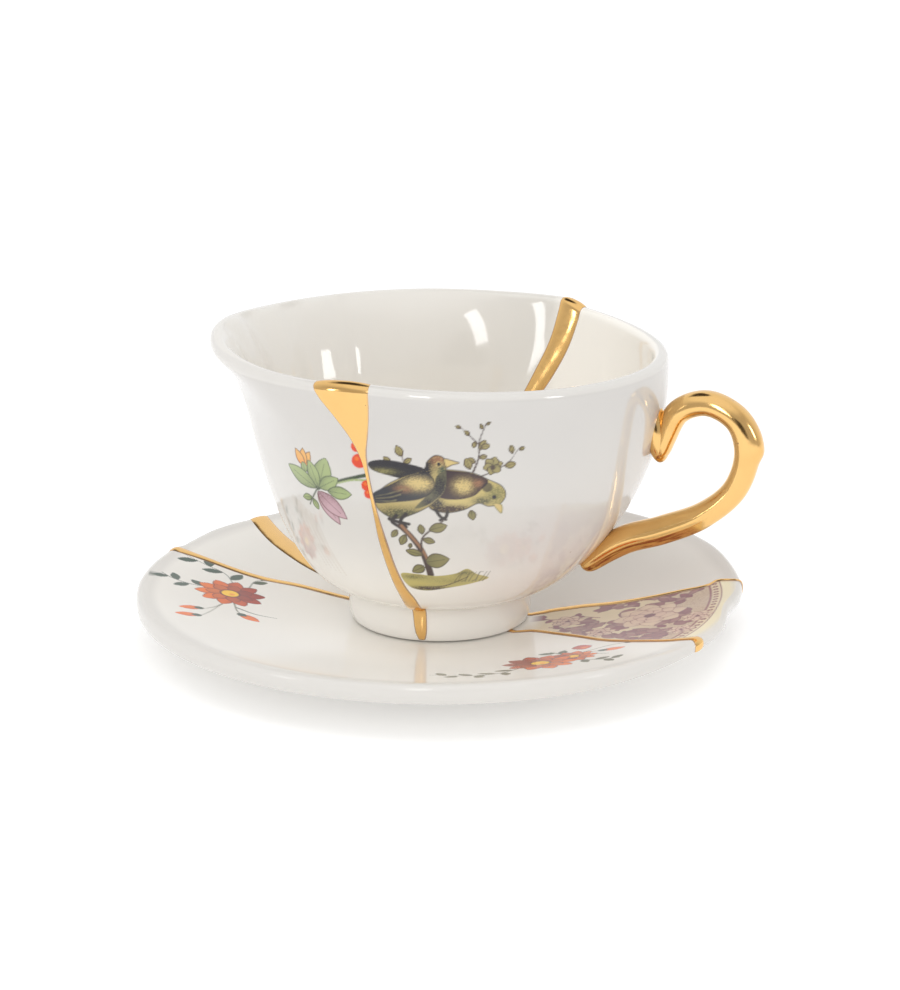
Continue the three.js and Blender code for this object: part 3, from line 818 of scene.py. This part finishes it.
def paintDaisy(sheet, x, y, size, turn, darkSide):
    for ring, count, reach, wide in ((0, 10, 1, 0.46), (1, 7, 0.70, 0.42)):
        for k in range(count):
            angle = turn + 19 * ring + 360 * k / count
            tone = 0.5 + 0.5 * math.cos(math.radians(angle - darkSide))
            color = mix(ink["petalPale"], ink["petal"] * 0.85, tone) * (1 - 0.25 * ring)
            sheet.leaf(x, y, angle, size * reach, size * wide,
                       (mix(color, ink["crimson"], 0.5 * tone ** 3), "crimson", "crimson"), 1.5, False)
    sheet.dot(x, y, size * 0.30, "crimson")
    sheet.dot(x, y, size * 0.24, "yolk")
    sheet.dot(x + 0.06 * size, y - 0.05 * size, size * 0.08, "petalPale", 0.6)


def paintBud(sheet, x, y, angle, length):
    sheet.leaf(x, y, angle, length, length * 0.44, ("petalPale", "crimson", "petal"), 1.1)
    sheet.leaf(x, y, angle, length * 0.4, length * 0.34, ("teal", "leafDark", None))


def paintSprig(sheet, points, count, length, tone="teal", width=0.45):
    line = smoothLine(points)
    sheet.stroke(points, tone, width, 0.3)
    inks = [ink[tone] * share for share in (1.3, 0.7, 0.8)]
    for k in range(count):
        i = int((k + 1) / (count + 1) * (len(line) - 1))
        dx, dy = line[min(i + 1, len(line) - 1)] - line[i - 1]
        side = 48 if k % 2 else -48
        sheet.leaf(*line[i], math.degrees(math.atan2(dy, dx)) + side, length, length * 0.5, inks)


def paintSaucerFlowers(sheet):
    paintSprig(sheet, [(-50, 8), (-53, 16), (-58.5, 20), (-64, 24)], 4, 5.2)
    paintSprig(sheet, [(-53, 6), (-60, 5), (-65, 6.5), (-68, 9)], 4, 4.6)
    paintSprig(sheet, [(-47, 9), (-45.5, 15), (-41, 17)], 2, 4, "leafDark")
    for points in ([(-51, -2), (-53.5, -8), (-56.5, -12)], [(-52, -4), (-54.5, -13), (-56.5, -18)],
                   [(-49.5, -3), (-48.5, -8), (-47.5, -10)]):
        sheet.stroke(points, "moss", 0.5)
    sheet.stroke([(-48.6, -6), (-44, -8.6), (-39, -9.2)], "teal", 0.6)
    for bud in ((-56, -11, 204, 6.2), (-55.8, -17.2, 198, 6.6), (-48.2, -10, -38, 7)):
        paintBud(sheet, *bud)
    paintDaisy(sheet, -51, 3.6, 8.6, 10, 10)
    for points in ([(27, -42), (33, -38), (38.5, -34.6), (42.4, -34)],
                   [(32, -38.6), (34, -38.8), (36.4, -38.9)], [(30, -41), (35, -41.5), (38, -43)]):
        sheet.stroke(points, "moss", 0.6)
    sheet.leaf(30.2, -33, 4, 4.8, 4.6, ("petal", "crimson", "crimson"), 1, False)
    sheet.dot(33.2, -33.4, 0.8, "petalPale")
    paintBud(sheet, 42.2, -34, 6, 5.4)
    paintBud(sheet, 35.8, -38.9, 4, 6.4)
    paintSprig(sheet, [(29, -40), (27, -37), (25.4, -35)], 2, 4, "leafDark", 0.6)
    paintSprig(sheet, [(30, -46), (36, -49), (40, -49.5)], 4, 3.8, "moss", 0.6)
    paintSprig(sheet, [(18, -51), (13, -57), (6, -59), (-2, -57.5)], 7, 4.2, "moss", 0.6)
    paintDaisy(sheet, 30.2, -41.8, 5.6, 40, 200)
    paintDaisy(sheet, 22.6, -46.2, 8.6, 0, 160)


def paintPrint(sheet, radius, azimuth):  # purple transfer print on cream, with a beaded border
    dark, ground = printInks["dark"], printInks["ground"]
    pale, deep = mix(ground, printInks["pink"], 0.45), dark * 0.7
    beadRadius, beadStep = 66.2, 2.1
    at = np.arange(len(sheet.x))
    sheet.lay(at, edgeCover(radius - 24, 4) * edgeCover(67.4 - radius, 0.4), ground)
    sheet.lay(at, edgeCover(radius - 67.4, 0.4) * edgeCover(70.4 - radius, 2), printInks["edge"])
    outer = smoothStep((radius - 46) / 14) * edgeCover(65.4 - radius, 0.3)
    sheet.lay(at, outer * sheet.stipple(at, 0.8), mix(dark, ground, 0.45))
    arc = np.radians(azimuth) * beadRadius
    beads = np.hypot((arc % beadStep) - beadStep / 2, radius - beadRadius)
    sheet.lay(at, edgeCover(0.66 - beads, 0.25), dark)
    sheet.lay(at, edgeCover(0.22 - beads, 0.25), ground)
    for ring, width in ((64.9, 0.26), (67.5, 0.16)):
        sheet.lay(at, edgeCover(width - np.abs(radius - ring), 0.25) * 0.9, dark)
    for points in ([(24, -3), (27, -5), (33, -5), (38, -8)], [(26, -11), (31, -13), (36, -12), (41, -13)],
                   [(27, -15), (33, -17), (39, -23), (46, -27)], [(38, -4), (44, -1.5), (52, 0), (60, 0.5)],
                   [(33, -9), (36, -14), (35, -18)], [(44, -27), (50, -31), (53, -33)]):
        sheet.stroke(points, dark, 0.6, 0.2)
        line = smoothLine(points)
        for k in range(1, 9):
            spot = line[int(k / 9 * (len(line) - 1))]
            sheet.leaf(*spot, 70 * k + 20, 2.8, 1.6, (dark, deep, deep), 1, False)
    scatter = np.random.default_rng(5)
    for _ in range(120):  # a thicket of small leaves towards the rim
        reach, turn = scatter.uniform(38, 63), scatter.uniform(-36, 3)
        x, y = reach * math.cos(math.radians(turn)), reach * math.sin(math.radians(turn))
        if math.hypot(x - 49.6, y + 13.3) > 6.5:
            sheet.leaf(x, y, scatter.uniform(0, 360), scatter.uniform(3, 6), scatter.uniform(1.8, 3.4),
                       (mix(dark, pale, scatter.uniform(0, 0.35)), deep, deep), 1, False)
    for x, y, size, count in ((49.6, -13.3, 8.8, 8), (30.5, -7.5, 4.2, 7), (37.5, -20.5, 3.8, 7),
                              (60, -22, 3.8, 7), (55.5, -30.5, 3.4, 6)):
        for ring in range(3):
            petals = count - ring
            sheet.leaves([(x, y, 24 * ring + 360 * k / petals, size * (1 - 0.27 * ring),
                           size * (0.66 - 0.1 * ring)) for k in range(petals)],
                         (mix(pale, ground, 0.4 - 0.2 * ring), dark, dark), 1.4, False)
        sheet.dot(x, y, size * 0.16, deep)


# The cup's porcelain and seams

cupRowList = cupRows()
cupNeckRow = next(i for i, row in enumerate(cupRowList) if row.get("t") == 0)
cupLipRow = next(i for i, row in enumerate(cupRowList) if row.get("turn", 0) > 0)
cupDetail = dict(columns=(72, 86), firstColumn=76, cuts=6)


def porcelainPiece(name, detail, makeGrid, pictureArea):  # with its points, radii, azimuths and rows
    columns = planColumns(detail["columns"], [0, 0.5])
    grid = makeGrid(columns, np.where(columns[1] & (columns[2] > 0), -seam["bed"], 0.0))
    grid = np.roll(grid, -detail["firstColumn"], axis=1)  # so that the first column lies out of sight
    piece = gridPiece(name, grid)
    refine(piece, grid, pictureArea, detail["cuts"])
    points = readPoints(piece.data) / metre
    radius = np.hypot(points[:, 0], points[:, 1])
    azimuth = np.degrees(np.arctan2(points[:, 1], points[:, 0]))
    return piece, points, radius, azimuth, readFloats(piece.data, "along")


def layeredTints(count, layers):  # the body's tint, and shares of the others over it
    color = np.repeat(tints["body"][None], count, axis=0)
    for name, share in layers:
        color = mix(color, tints[name], share[:, None])
    return color


def glazed(piece, color, material, slot, cadNode):
    paint = piece.data.attributes.new("paint", "FLOAT_COLOR", "POINT")
    values = np.concatenate([color, np.ones((len(color), 1))], axis=1)
    paint.data.foreach_set("color", values.ravel().astype(np.float32))
    finished(piece, material, slot, cadNode)
    print(piece.name, len(color), "points")


def frontArc(radius, azimuth):  # millimetres round the wall from the front
    return np.radians((azimuth + 270) % 360 - 180) * radius


def cupPictureArea(along, points):  # where the wall is decorated
    x, y, z = points.T
    arc = frontArc(np.hypot(x, y), np.degrees(np.arctan2(y, x)))
    birds = (arc > -17.5) & (arc < 21.5) & (z > 22) & (z < 68)
    spray = (arc > -43) & (arc < -13.5) & (z > 23) & (z < 64)
    return (birds | spray) & (along > cupNeckRow) & (along < cupLipRow)


def cupSkin(columns, sunk):
    grid = cupGrid(columns, cupRowList, sunk)
    lastWall = max(i for i, row in enumerate(cupRowList) if "t" in row)
    softenRows(grid, cupNeckRow - 4, cupNeckRow + 6, 10)
    return softenRows(grid, lastWall - 5, lastWall + 4, 12)


def makeCup():
    piece, points, radius, azimuth, along = porcelainPiece("cup_porcelain", cupDetail, cupSkin,
                                                           cupPictureArea)
    z = points[:, 2]
    inside, outside = along > cupLipRow + 5, along < cupLipRow
    right = smoothStep((azimuth + 112) / 6) * smoothStep((58 - azimuth) / 6) * inside
    # Painted light and shade on the outer wall: the foot tint lightens it towards the foot, and the upper
    # tint darkens it towards the lip.
    color = layeredTints(len(points), [
        ("cream", right), ("inside", inside * (1 - right) * 0.6),
        ("foot", smoothStep((42 - z) / 24) * outside), ("upper", smoothStep((z - 40) / 30) * outside)])
    sheet = Picture(np.where(outside, frontArc(radius, azimuth), outOfReach), z, color, 7)
    for x, y, wide, high, strength in ((20, 36, 8, 5, 0.25), (27, 41, 6, 4, 0.2), (31, 30, 7, 5, 0.2)):
        sheet.wash(x, y, wide, high, "lilac", strength * 0.3)
    frontSeam = readKnots(frontSeamOutside, z - cup["base"], 1)
    sheet.within((azimuth < frontSeam) | (azimuth > 90), paintSpray)
    sheet.within((azimuth >= frontSeam) & (azimuth < 90), paintBirds)
    glazed(piece, sheet.color, cupGlaze, "cup_glaze", "cup")


def cupSeamPiece():
    rows = [row for row in cupRowList if row["bead"] > 0 and not row.get("floor")]
    front, back = (seamStrips(cupGrid, part, rows, seam["proud"]) for part in (0, 1))
    strips = [np.concatenate([a, b[::-1, ::-1]]) for a, b in zip(front, back)]
    neckRow = next(i for i, row in enumerate(rows) if row.get("t") == 0)
    total = len(strips[0])
    for strip in strips:
        softenRows(strip, neckRow - 4, neckRow + 6, 10)
        softenRows(strip, total - neckRow - 6, total - neckRow + 4, 10)
        softenRows(strip, total // 2 - 7, total // 2 + 7, 14)
    ribbonPiece("cup_gold_seams", *strips)


makeCup()
cupSeamPiece()
print("cup made")


# The handle, as shares of the cup's height and of the reach from the wall

handle = dict(rows=180, columns=72, azimuth=-18.0, reach=25.0, thickness=5.8, width=7.5, armSwell=0.9,
              spur=1.1, spurPlace=0.4, ridge=0.15, sideSlim=0.9, roundness=0.85, endShare=0.05, padPlace=0.71,
              padSize=(2.5, 3.9, 7.0), padOut=1.25, padLean=-0.16,
              line=[(0.629, 0.08), (0.694, 0.085), (0.79, 0.17), (0.825, 0.43), (0.775, 0.72), (0.672, 0.87),
                    (0.542, 0.89), (0.443, 0.73), (0.377, 0.45), (0.327, 0.17), (0.225, 0.03)])


def wallRadiusAt(height):
    columns = (np.array([0]), np.array([False]), np.array([0.5]))
    steps = np.linspace(0, 1, 301)
    points = np.array([np.concatenate(wallPoint(columns, handle["azimuth"], t)) for t in steps])
    return np.interp(height, points[:, 1] - cup["base"], points[:, 0])


def throughPoints(points, count):  # a centripetal curve through points, at even lengths
    p = np.array(points, float)
    p = np.concatenate([[2 * p[0] - p[1]], p, [2 * p[-1] - p[-2]]])
    line = []
    for i in range(1, len(p) - 2):
        blend, knots = p[i - 1:i + 3], [0]
        for a, b in zip(blend, blend[1:]):
            knots.append(knots[-1] + math.sqrt(np.linalg.norm(b - a)))
        t = np.linspace(knots[1], knots[2], 60)[:, None]
        for spans in (((0, 1), (1, 2), (2, 3)), ((0, 2), (1, 3)), ((1, 2),)):
            ends = [(knots[a], knots[b]) for a, b in spans]
            blend = [(b - t) / (b - a) * blend[k] + (t - a) / (b - a) * blend[k + 1]
                     for k, (a, b) in enumerate(ends)]
        line.append(blend[0][:-1])
    line.append(p[-2:-1])
    return evenly(np.concatenate(line).T, count).T


def besideWall(radial, side, up):  # from the handle's own plane into the cup's frame
    turn = math.radians(handle["azimuth"])
    return np.stack([radial * math.cos(turn) - side * math.sin(turn),
                     radial * math.sin(turn) + side * math.cos(turn), up], axis=-1)


def makeHandle():
    points = [(wallRadiusAt(up * cup["height"]) + out * handle["reach"], cup["base"] + up * cup["height"])
              for up, out in handle["line"]]
    line = throughPoints(points, handle["rows"])
    tangent = np.gradient(line, axis=0)
    tangent /= np.linalg.norm(tangent, axis=1)[:, None]
    outward = np.stack([-tangent[:, 1], tangent[:, 0]], axis=1)
    u = np.linspace(0, 1, handle["rows"])
    near = np.minimum(u, 1 - u) / handle["endShare"]
    endRound = np.cbrt(np.maximum(0, 1 - (1 - clip01(near)) ** 3))
    arm = smoothStep((u - 0.55) / 0.2) * (1 - smoothStep((u - 0.86) / 0.14) * 1.6)
    thin = 0.5 * (1 - smoothStep(u / 0.15))
    thick = (handle["thickness"] / 2 - thin + handle["armSwell"] / 2 * arm) * endRound
    wide = (handle["width"] / 2 - thin) * endRound
    place = handle["spurPlace"]
    spur = handle["spur"] * np.where(u < place, bell(u, place, 0.07), bell(u, place, 0.022))
    angle = np.linspace(0, 2 * np.pi, handle["columns"], endpoint=False)
    cosine, sine = np.cos(angle)[None], np.sin(angle)[None]
    depth = roundedPower(cosine, handle["roundness"]) * (thick[:, None] + spur[:, None] * (cosine > 0))
    ridgePlace = mix(-0.32, 0.0, smoothStep((u - 0.5) / 0.25))[:, None]
    crease = 1 - np.sqrt((cosine - ridgePlace) ** 2 + 0.004)
    flat = handle["sideSlim"] * roundedPower(sine, handle["roundness"])
    side = (flat + handle["ridge"] * crease * sine ** 3) * wide[:, None]
    radial, z = (line[:, k][:, None] + outward[:, k][:, None] * depth for k in (0, 1))
    piece = gridPiece("cup_handle", besideWall(radial, side, z))
    gilded(piece, np.zeros(len(piece.data.vertices)), "cup")


def makeUpperPad():  # it bonds the handle's upper end to the wall
    bpy.ops.mesh.primitive_uv_sphere_add(segments=48, ring_count=32, radius=1)
    piece = named("cup_handle_pad")
    height, lean = handle["padPlace"] * cup["height"], handle["padLean"]
    x, y, z = (readPoints(piece.data) * handle["padSize"]).T
    x = np.where(x > 0, handle["padOut"] * x, x)  # fuller outside than in the wall
    radial = x * math.cos(lean) + z * math.sin(lean) + wallRadiusAt(height)
    up = z * math.cos(lean) - x * math.sin(lean) + cup["base"] + height
    placePoints(piece, besideWall(radial, y, up))
    gilded(piece, np.zeros(len(up)), "cup")


makeHandle()
makeUpperPad()
print("handle made")


# The saucer

saucer = dict(radius=72.8, height=13.6, thickness=4.2, edge=4.6, edgeRound=1.8, wellRadius=24.0,
              wellHeight=5.2, dishCurve=1.3, footRadius=43.0, footWidth=3.2, footRecess=1.1,
              backLift=1.6, notch=2.5, lobe=0.4, thinDepth=2.3, thinAzimuth=-27, thinSpread=25,
              widestSeam=1.1, underLevel=45)

# Tables of distance from the middle, azimuth and width: right, upper right, upper left and left
saucerSeams = [
    [(22, -36, 2), (25.7, -29, 2), (32, -31, 1.9), (39, -33.6, 1.8), (48, -37, 1.8), (63, -37.2, 2.2),
     (71, -35.8, 3.4), (73, -36.5, 4)],
    [(22, 0, 2.2), (26.5, 4.4, 2.6), (31.7, 4.8, 2.8), (43.3, 1.6, 2.5), (58.5, 1.2, 2), (65.3, 1.4, 1.9),
     (67, 2.8, 1.9), (71.2, 0.7, 1.6)],
    [(22, 136, 4.4), (41, 136.5, 5.6), (51, 135.5, 6.4), (59, 134.5, 6.2), (71.5, 131.6, 5.7)],
    [(26, 152, 2.4), (38.6, 154.5, 2.5), (47, 158, 2.6), (65, 158.2, 2.7), (72, 158.4, 3.8)],
]
saucerDetail = dict(columns=(26, 66, 14, 88), cuts=5, firstColumn=60)


def saucerRim(columns):
    part, inSeam, share = columns
    crest = np.sin(np.pi * share)
    out = np.select([part == 0, part == 1, part == 2],
                    [-saucer["notch"] * bell(share, 0.57, 0.25), 0.5 * crest,
                     saucer["lobe"] * np.sin(np.pi * np.minimum(1, share / 0.6))
                     - smoothStep((share - 0.4) / 0.6)], 0.0)
    up = np.where(part == 1, saucer["backLift"] * smoothStep(crest * 2), 0.0)
    return np.where(inSeam, 0, out), np.where(inSeam, 0, up)


def underRise(azimuth, row):  # the rim is thin beside the printed sherd, so its underside rises
    side = np.where(azimuth > 180, azimuth - 360, azimuth)
    low = clip01((saucer["height"] - row["z"]) / saucer["edge"]) if row["bead"] == 1 else 1.0
    onEdge = low if row["bead"] < 1 or "rim" in row else 0.0
    return saucer["thinDepth"] * bell(side, saucer["thinAzimuth"], saucer["thinSpread"]) * onEdge


def dishTop(radius):
    reach = saucer["radius"] - saucer["edgeRound"] - saucer["wellRadius"]
    share = np.maximum(0, radius - saucer["wellRadius"]) / reach
    return saucer["wellHeight"] + (saucer["height"] - saucer["wellHeight"]) * share ** saucer["dishCurve"]


def saucerRows():
    rimStart = saucer["radius"] - saucer["edgeRound"]
    foot, width, recess = saucer["footRadius"], saucer["footWidth"], saucer["footRecess"]
    thick = saucer["thickness"]
    outline = [(0, recess), (14, recess), (28, recess), (foot - width - 0.8, recess),
               (foot - width - 0.3, 0.25), (foot - width, 0), (foot - 0.3, 0), (foot, 0.3),
               (foot + 0.3, dishTop(foot) - thick - 0.8), (foot + 1.2, dishTop(foot) - thick + 0.1)]
    for share in (0.15, 0.35, 0.55, 0.75, 0.9):
        radius = mix(foot + 1.2, rimStart - 0.4, share)
        outline.append((radius, dishTop(radius) - mix(thick, saucer["edge"], share)))
    rows = [dict(radius=r, z=z, bead=0) for r, z in outline]
    rows.append(dict(radius=rimStart - 0.4, z=saucer["height"] - saucer["edge"], bead=0.3))
    for degrees in (-75, -60, -45, -25, 0, 20, 40, 55, 70, 82):
        a = math.radians(degrees)
        rows.append(dict(radius=rimStart + saucer["edgeRound"] * roundedPower(math.cos(a), 0.7),
                         z=saucer["height"] - saucer["edge"] / 2
                         + saucer["edge"] / 2 * roundedPower(math.sin(a), 0.7), bead=1, rim=a))
    for radius in np.concatenate([np.linspace(rimStart, 25, 32), [22, 18, 14, 10, 7, 5, 3, 1.5, 0]]):
        rows.append(dict(radius=radius, z=dishTop(radius), bead=1))
    return rows


def saucerGrid(columns, rows, proud):
    grid = []
    rimOut, rimUp = saucerRim(columns)
    foot = saucer["footRadius"]
    for row in rows:
        radius = row["radius"]
        level = radius if row["bead"] == 1 else saucer["underLevel"]
        azimuth = columnAzimuths(columns, saucerSeams, level, max(radius, innermost), saucer["widestSeam"])
        outer = smoothStep((radius - foot - 2) / (saucer["radius"] - foot - 2))
        lift = proud * row["bead"]
        leanOut, leanUp = (math.cos(row["rim"]), math.sin(row["rim"])) if "rim" in row else (0.0, 1.0)
        grid.append(ringPoints(radius + rimOut * outer + lift * leanOut, azimuth,
                               row["z"] + (rimUp + underRise(azimuth, row)) * outer + lift * leanUp))
    return np.array(grid)


saucerRowList = saucerRows()
saucerRimRow = max(i for i, row in enumerate(saucerRowList) if "rim" in row)


def saucerPictureArea(along, points):
    x, y, z = points.T
    radius, azimuth = np.hypot(x, y), np.degrees(np.arctan2(y, x))
    left = (x > -70) & (x < -36) & (y > -25) & (y < 28) & (np.abs(azimuth) > 150)
    front = (x > -5) & (x < 50) & (y > -62) & (y < -28) & (radius > 40)
    printed = (azimuth > -37.5) & (azimuth < 6.5) & (radius > 24)
    return (left | front | printed) & (along > saucerRimRow) & (radius < 71.5)


def makeSaucer():
    piece, points, radius, azimuth, along = porcelainPiece(
        "saucer_porcelain", saucerDetail, lambda columns, sunk: saucerGrid(columns, saucerRowList, sunk),
        saucerPictureArea)
    top = along > saucerRimRow
    right, upperRight, left = (readKnots(saucerSeams[k], radius, 1) for k in (0, 1, 3))
    # Painted light and shade on the dish: the foot tint brightens it towards the cup, and the back sherd
    # shade darkens the sherd at the back right, where the cup's shadow falls, fading out towards the back.
    color = layeredTints(len(points), [
        ("dish", smoothStep((70 - radius) / 3)), ("foot", smoothStep((60 - radius) / 34) * 0.8),
        ("backSherdShade", smoothStep((80 - azimuth) / 40) * (azimuth > upperRight) * 0.45)])
    sheet = Picture(np.where(top, points[:, 0], outOfReach), points[:, 1], color, 11)
    sheet.within((azimuth > left) | (azimuth < right), paintSaucerFlowers)
    sheet.within((azimuth > right) & (azimuth < upperRight) & top, paintPrint, radius, azimuth)
    glazed(piece, sheet.color, saucerGlaze, "saucer_glaze", "saucer")


def saucerSeamPieces():
    rows = [row for row in saucerRowList if row["bead"] > 0 and not (row["radius"] < 6 and row["z"] > 4)]
    under = np.array([row["radius"] < cup["footRadius"] + 2.4 and row["z"] > 4 for row in rows])
    for part, name in enumerate(("right", "upper_right", "upper_left", "left")):
        top, bottom = seamStrips(saucerGrid, part, rows, seam["saucerProud"])
        top[under, :, 2] = np.minimum(top[under, :, 2], cup["base"] - 0.05)  # clear of the cup's foot
        ribbonPiece("saucer_gold_seam_" + name, top, bottom)


makeSaucer()
saucerSeamPieces()
print("saucer made")


# Floor and light. A pale room with a brighter ceiling, three small dark places, a wide soft lamp and
# three tall windows.

studio = dict(floor=(0.85, 0.85, 0.85, 1), floorGlow=0.25, walls=(0.54, 0.54, 0.545, 1),
              dark=(0.05, 0.045, 0.04, 1), back=(0.94, 0.94, 0.94, 1), ceiling=(1, 1, 1, 1),
              ceilingFull=24, ceilingEnd=48, worldStrength=1.0, sunPower=0.62, sunSpread=50,
              sunAzimuth=-110, sunElevation=76, windowDistance=1.2, windowGlow=6.5)
darkPlaces = (  # azimuth, elevation, and the radii where the dark is full and where it ends, in degrees
    (120, 66, 11, 19), (-86, 8, 10, 18), (104, 50, 4, 10))
windows = (  # azimuth, elevation, width and height, all in degrees
    ("front_window", -98, 28, 9, 21), ("left_window", -147, 13, 8, 13), ("right_window", -32, 19, 8, 15))


def makeFloor():
    bpy.ops.mesh.primitive_plane_add(size=12, location=(0, 0, 0))
    floor = named("floor")
    material, tree, shader = newMaterial("floor")
    setInputs(tree, shader, {"Base Color": studio["floor"], "Roughness": 0.9, "Specular IOR Level": 0.1,
                             "Emission Color": (1, 1, 1, 1), "Emission Strength": studio["floorGlow"]})
    floor.data.materials.append(material)


def towards(azimuth, elevation):
    a, e = math.radians(azimuth), math.radians(elevation)
    return (math.cos(e) * math.cos(a), math.cos(e) * math.sin(a), math.sin(e))


def addLight(kind, name, energy, **placed):
    bpy.ops.object.light_add(type=kind, **placed)
    light = named(name)
    light.data.energy = energy
    return light


def addWindow(name, azimuth, elevation, wide, high):
    far = studio["windowDistance"]
    size, sizeUp = (2 * far * math.tan(math.radians(angle / 2)) for angle in (wide, high))
    light = addLight("AREA", name, studio["windowGlow"] * math.pi * size * sizeUp,
                     location=[far * part for part in towards(azimuth, elevation)],
                     rotation=(math.radians(90 - elevation), 0, math.radians(azimuth + 90)))
    light.data.shape = "RECTANGLE"
    light.data.size, light.data.size_y = size, sizeUp


def makeLights():
    world = bpy.data.worlds.new("studio")
    bpy.context.scene.world = world
    world.use_nodes = True
    tree = world.node_tree
    direction = node(tree, "ShaderNodeTexCoord", {})
    depth = node(tree, "ShaderNodeSeparateXYZ", {0: direction}, 1)
    color = mixColors(tree, ramp01(tree, depth, -0.5, 0.5), studio["walls"], studio["back"])
    ceiling = (studio["sunAzimuth"], studio["sunElevation"], studio["ceilingFull"], studio["ceilingEnd"])
    for place, shade in [(ceiling, "ceiling")] + [(place, "dark") for place in darkPlaces]:
        azimuth, elevation, full, end = place
        nearness = node(tree, "ShaderNodeVectorMath", {0: direction, 1: towards(azimuth, elevation)}, 1,
                        operation="DOT_PRODUCT")
        share = ramp01(tree, nearness, math.cos(math.radians(end)), math.cos(math.radians(full)))
        color = mixColors(tree, share, color, studio[shade])
    setInputs(tree, tree.nodes["Background"], {"Color": color, "Strength": studio["worldStrength"]})
    lean, turn = math.radians(90 - studio["sunElevation"]), math.radians(studio["sunAzimuth"])
    sun = addLight("SUN", "soft_lamp", studio["sunPower"], rotation=(0, lean, turn))
    sun.data.angle = math.radians(studio["sunSpread"])
    sun.visible_glossy = False
    for window in windows:
        addWindow(*window)


makeFloor()
makeLights()
bpy.context.scene.view_settings.view_transform = "Standard"
print("studio made")
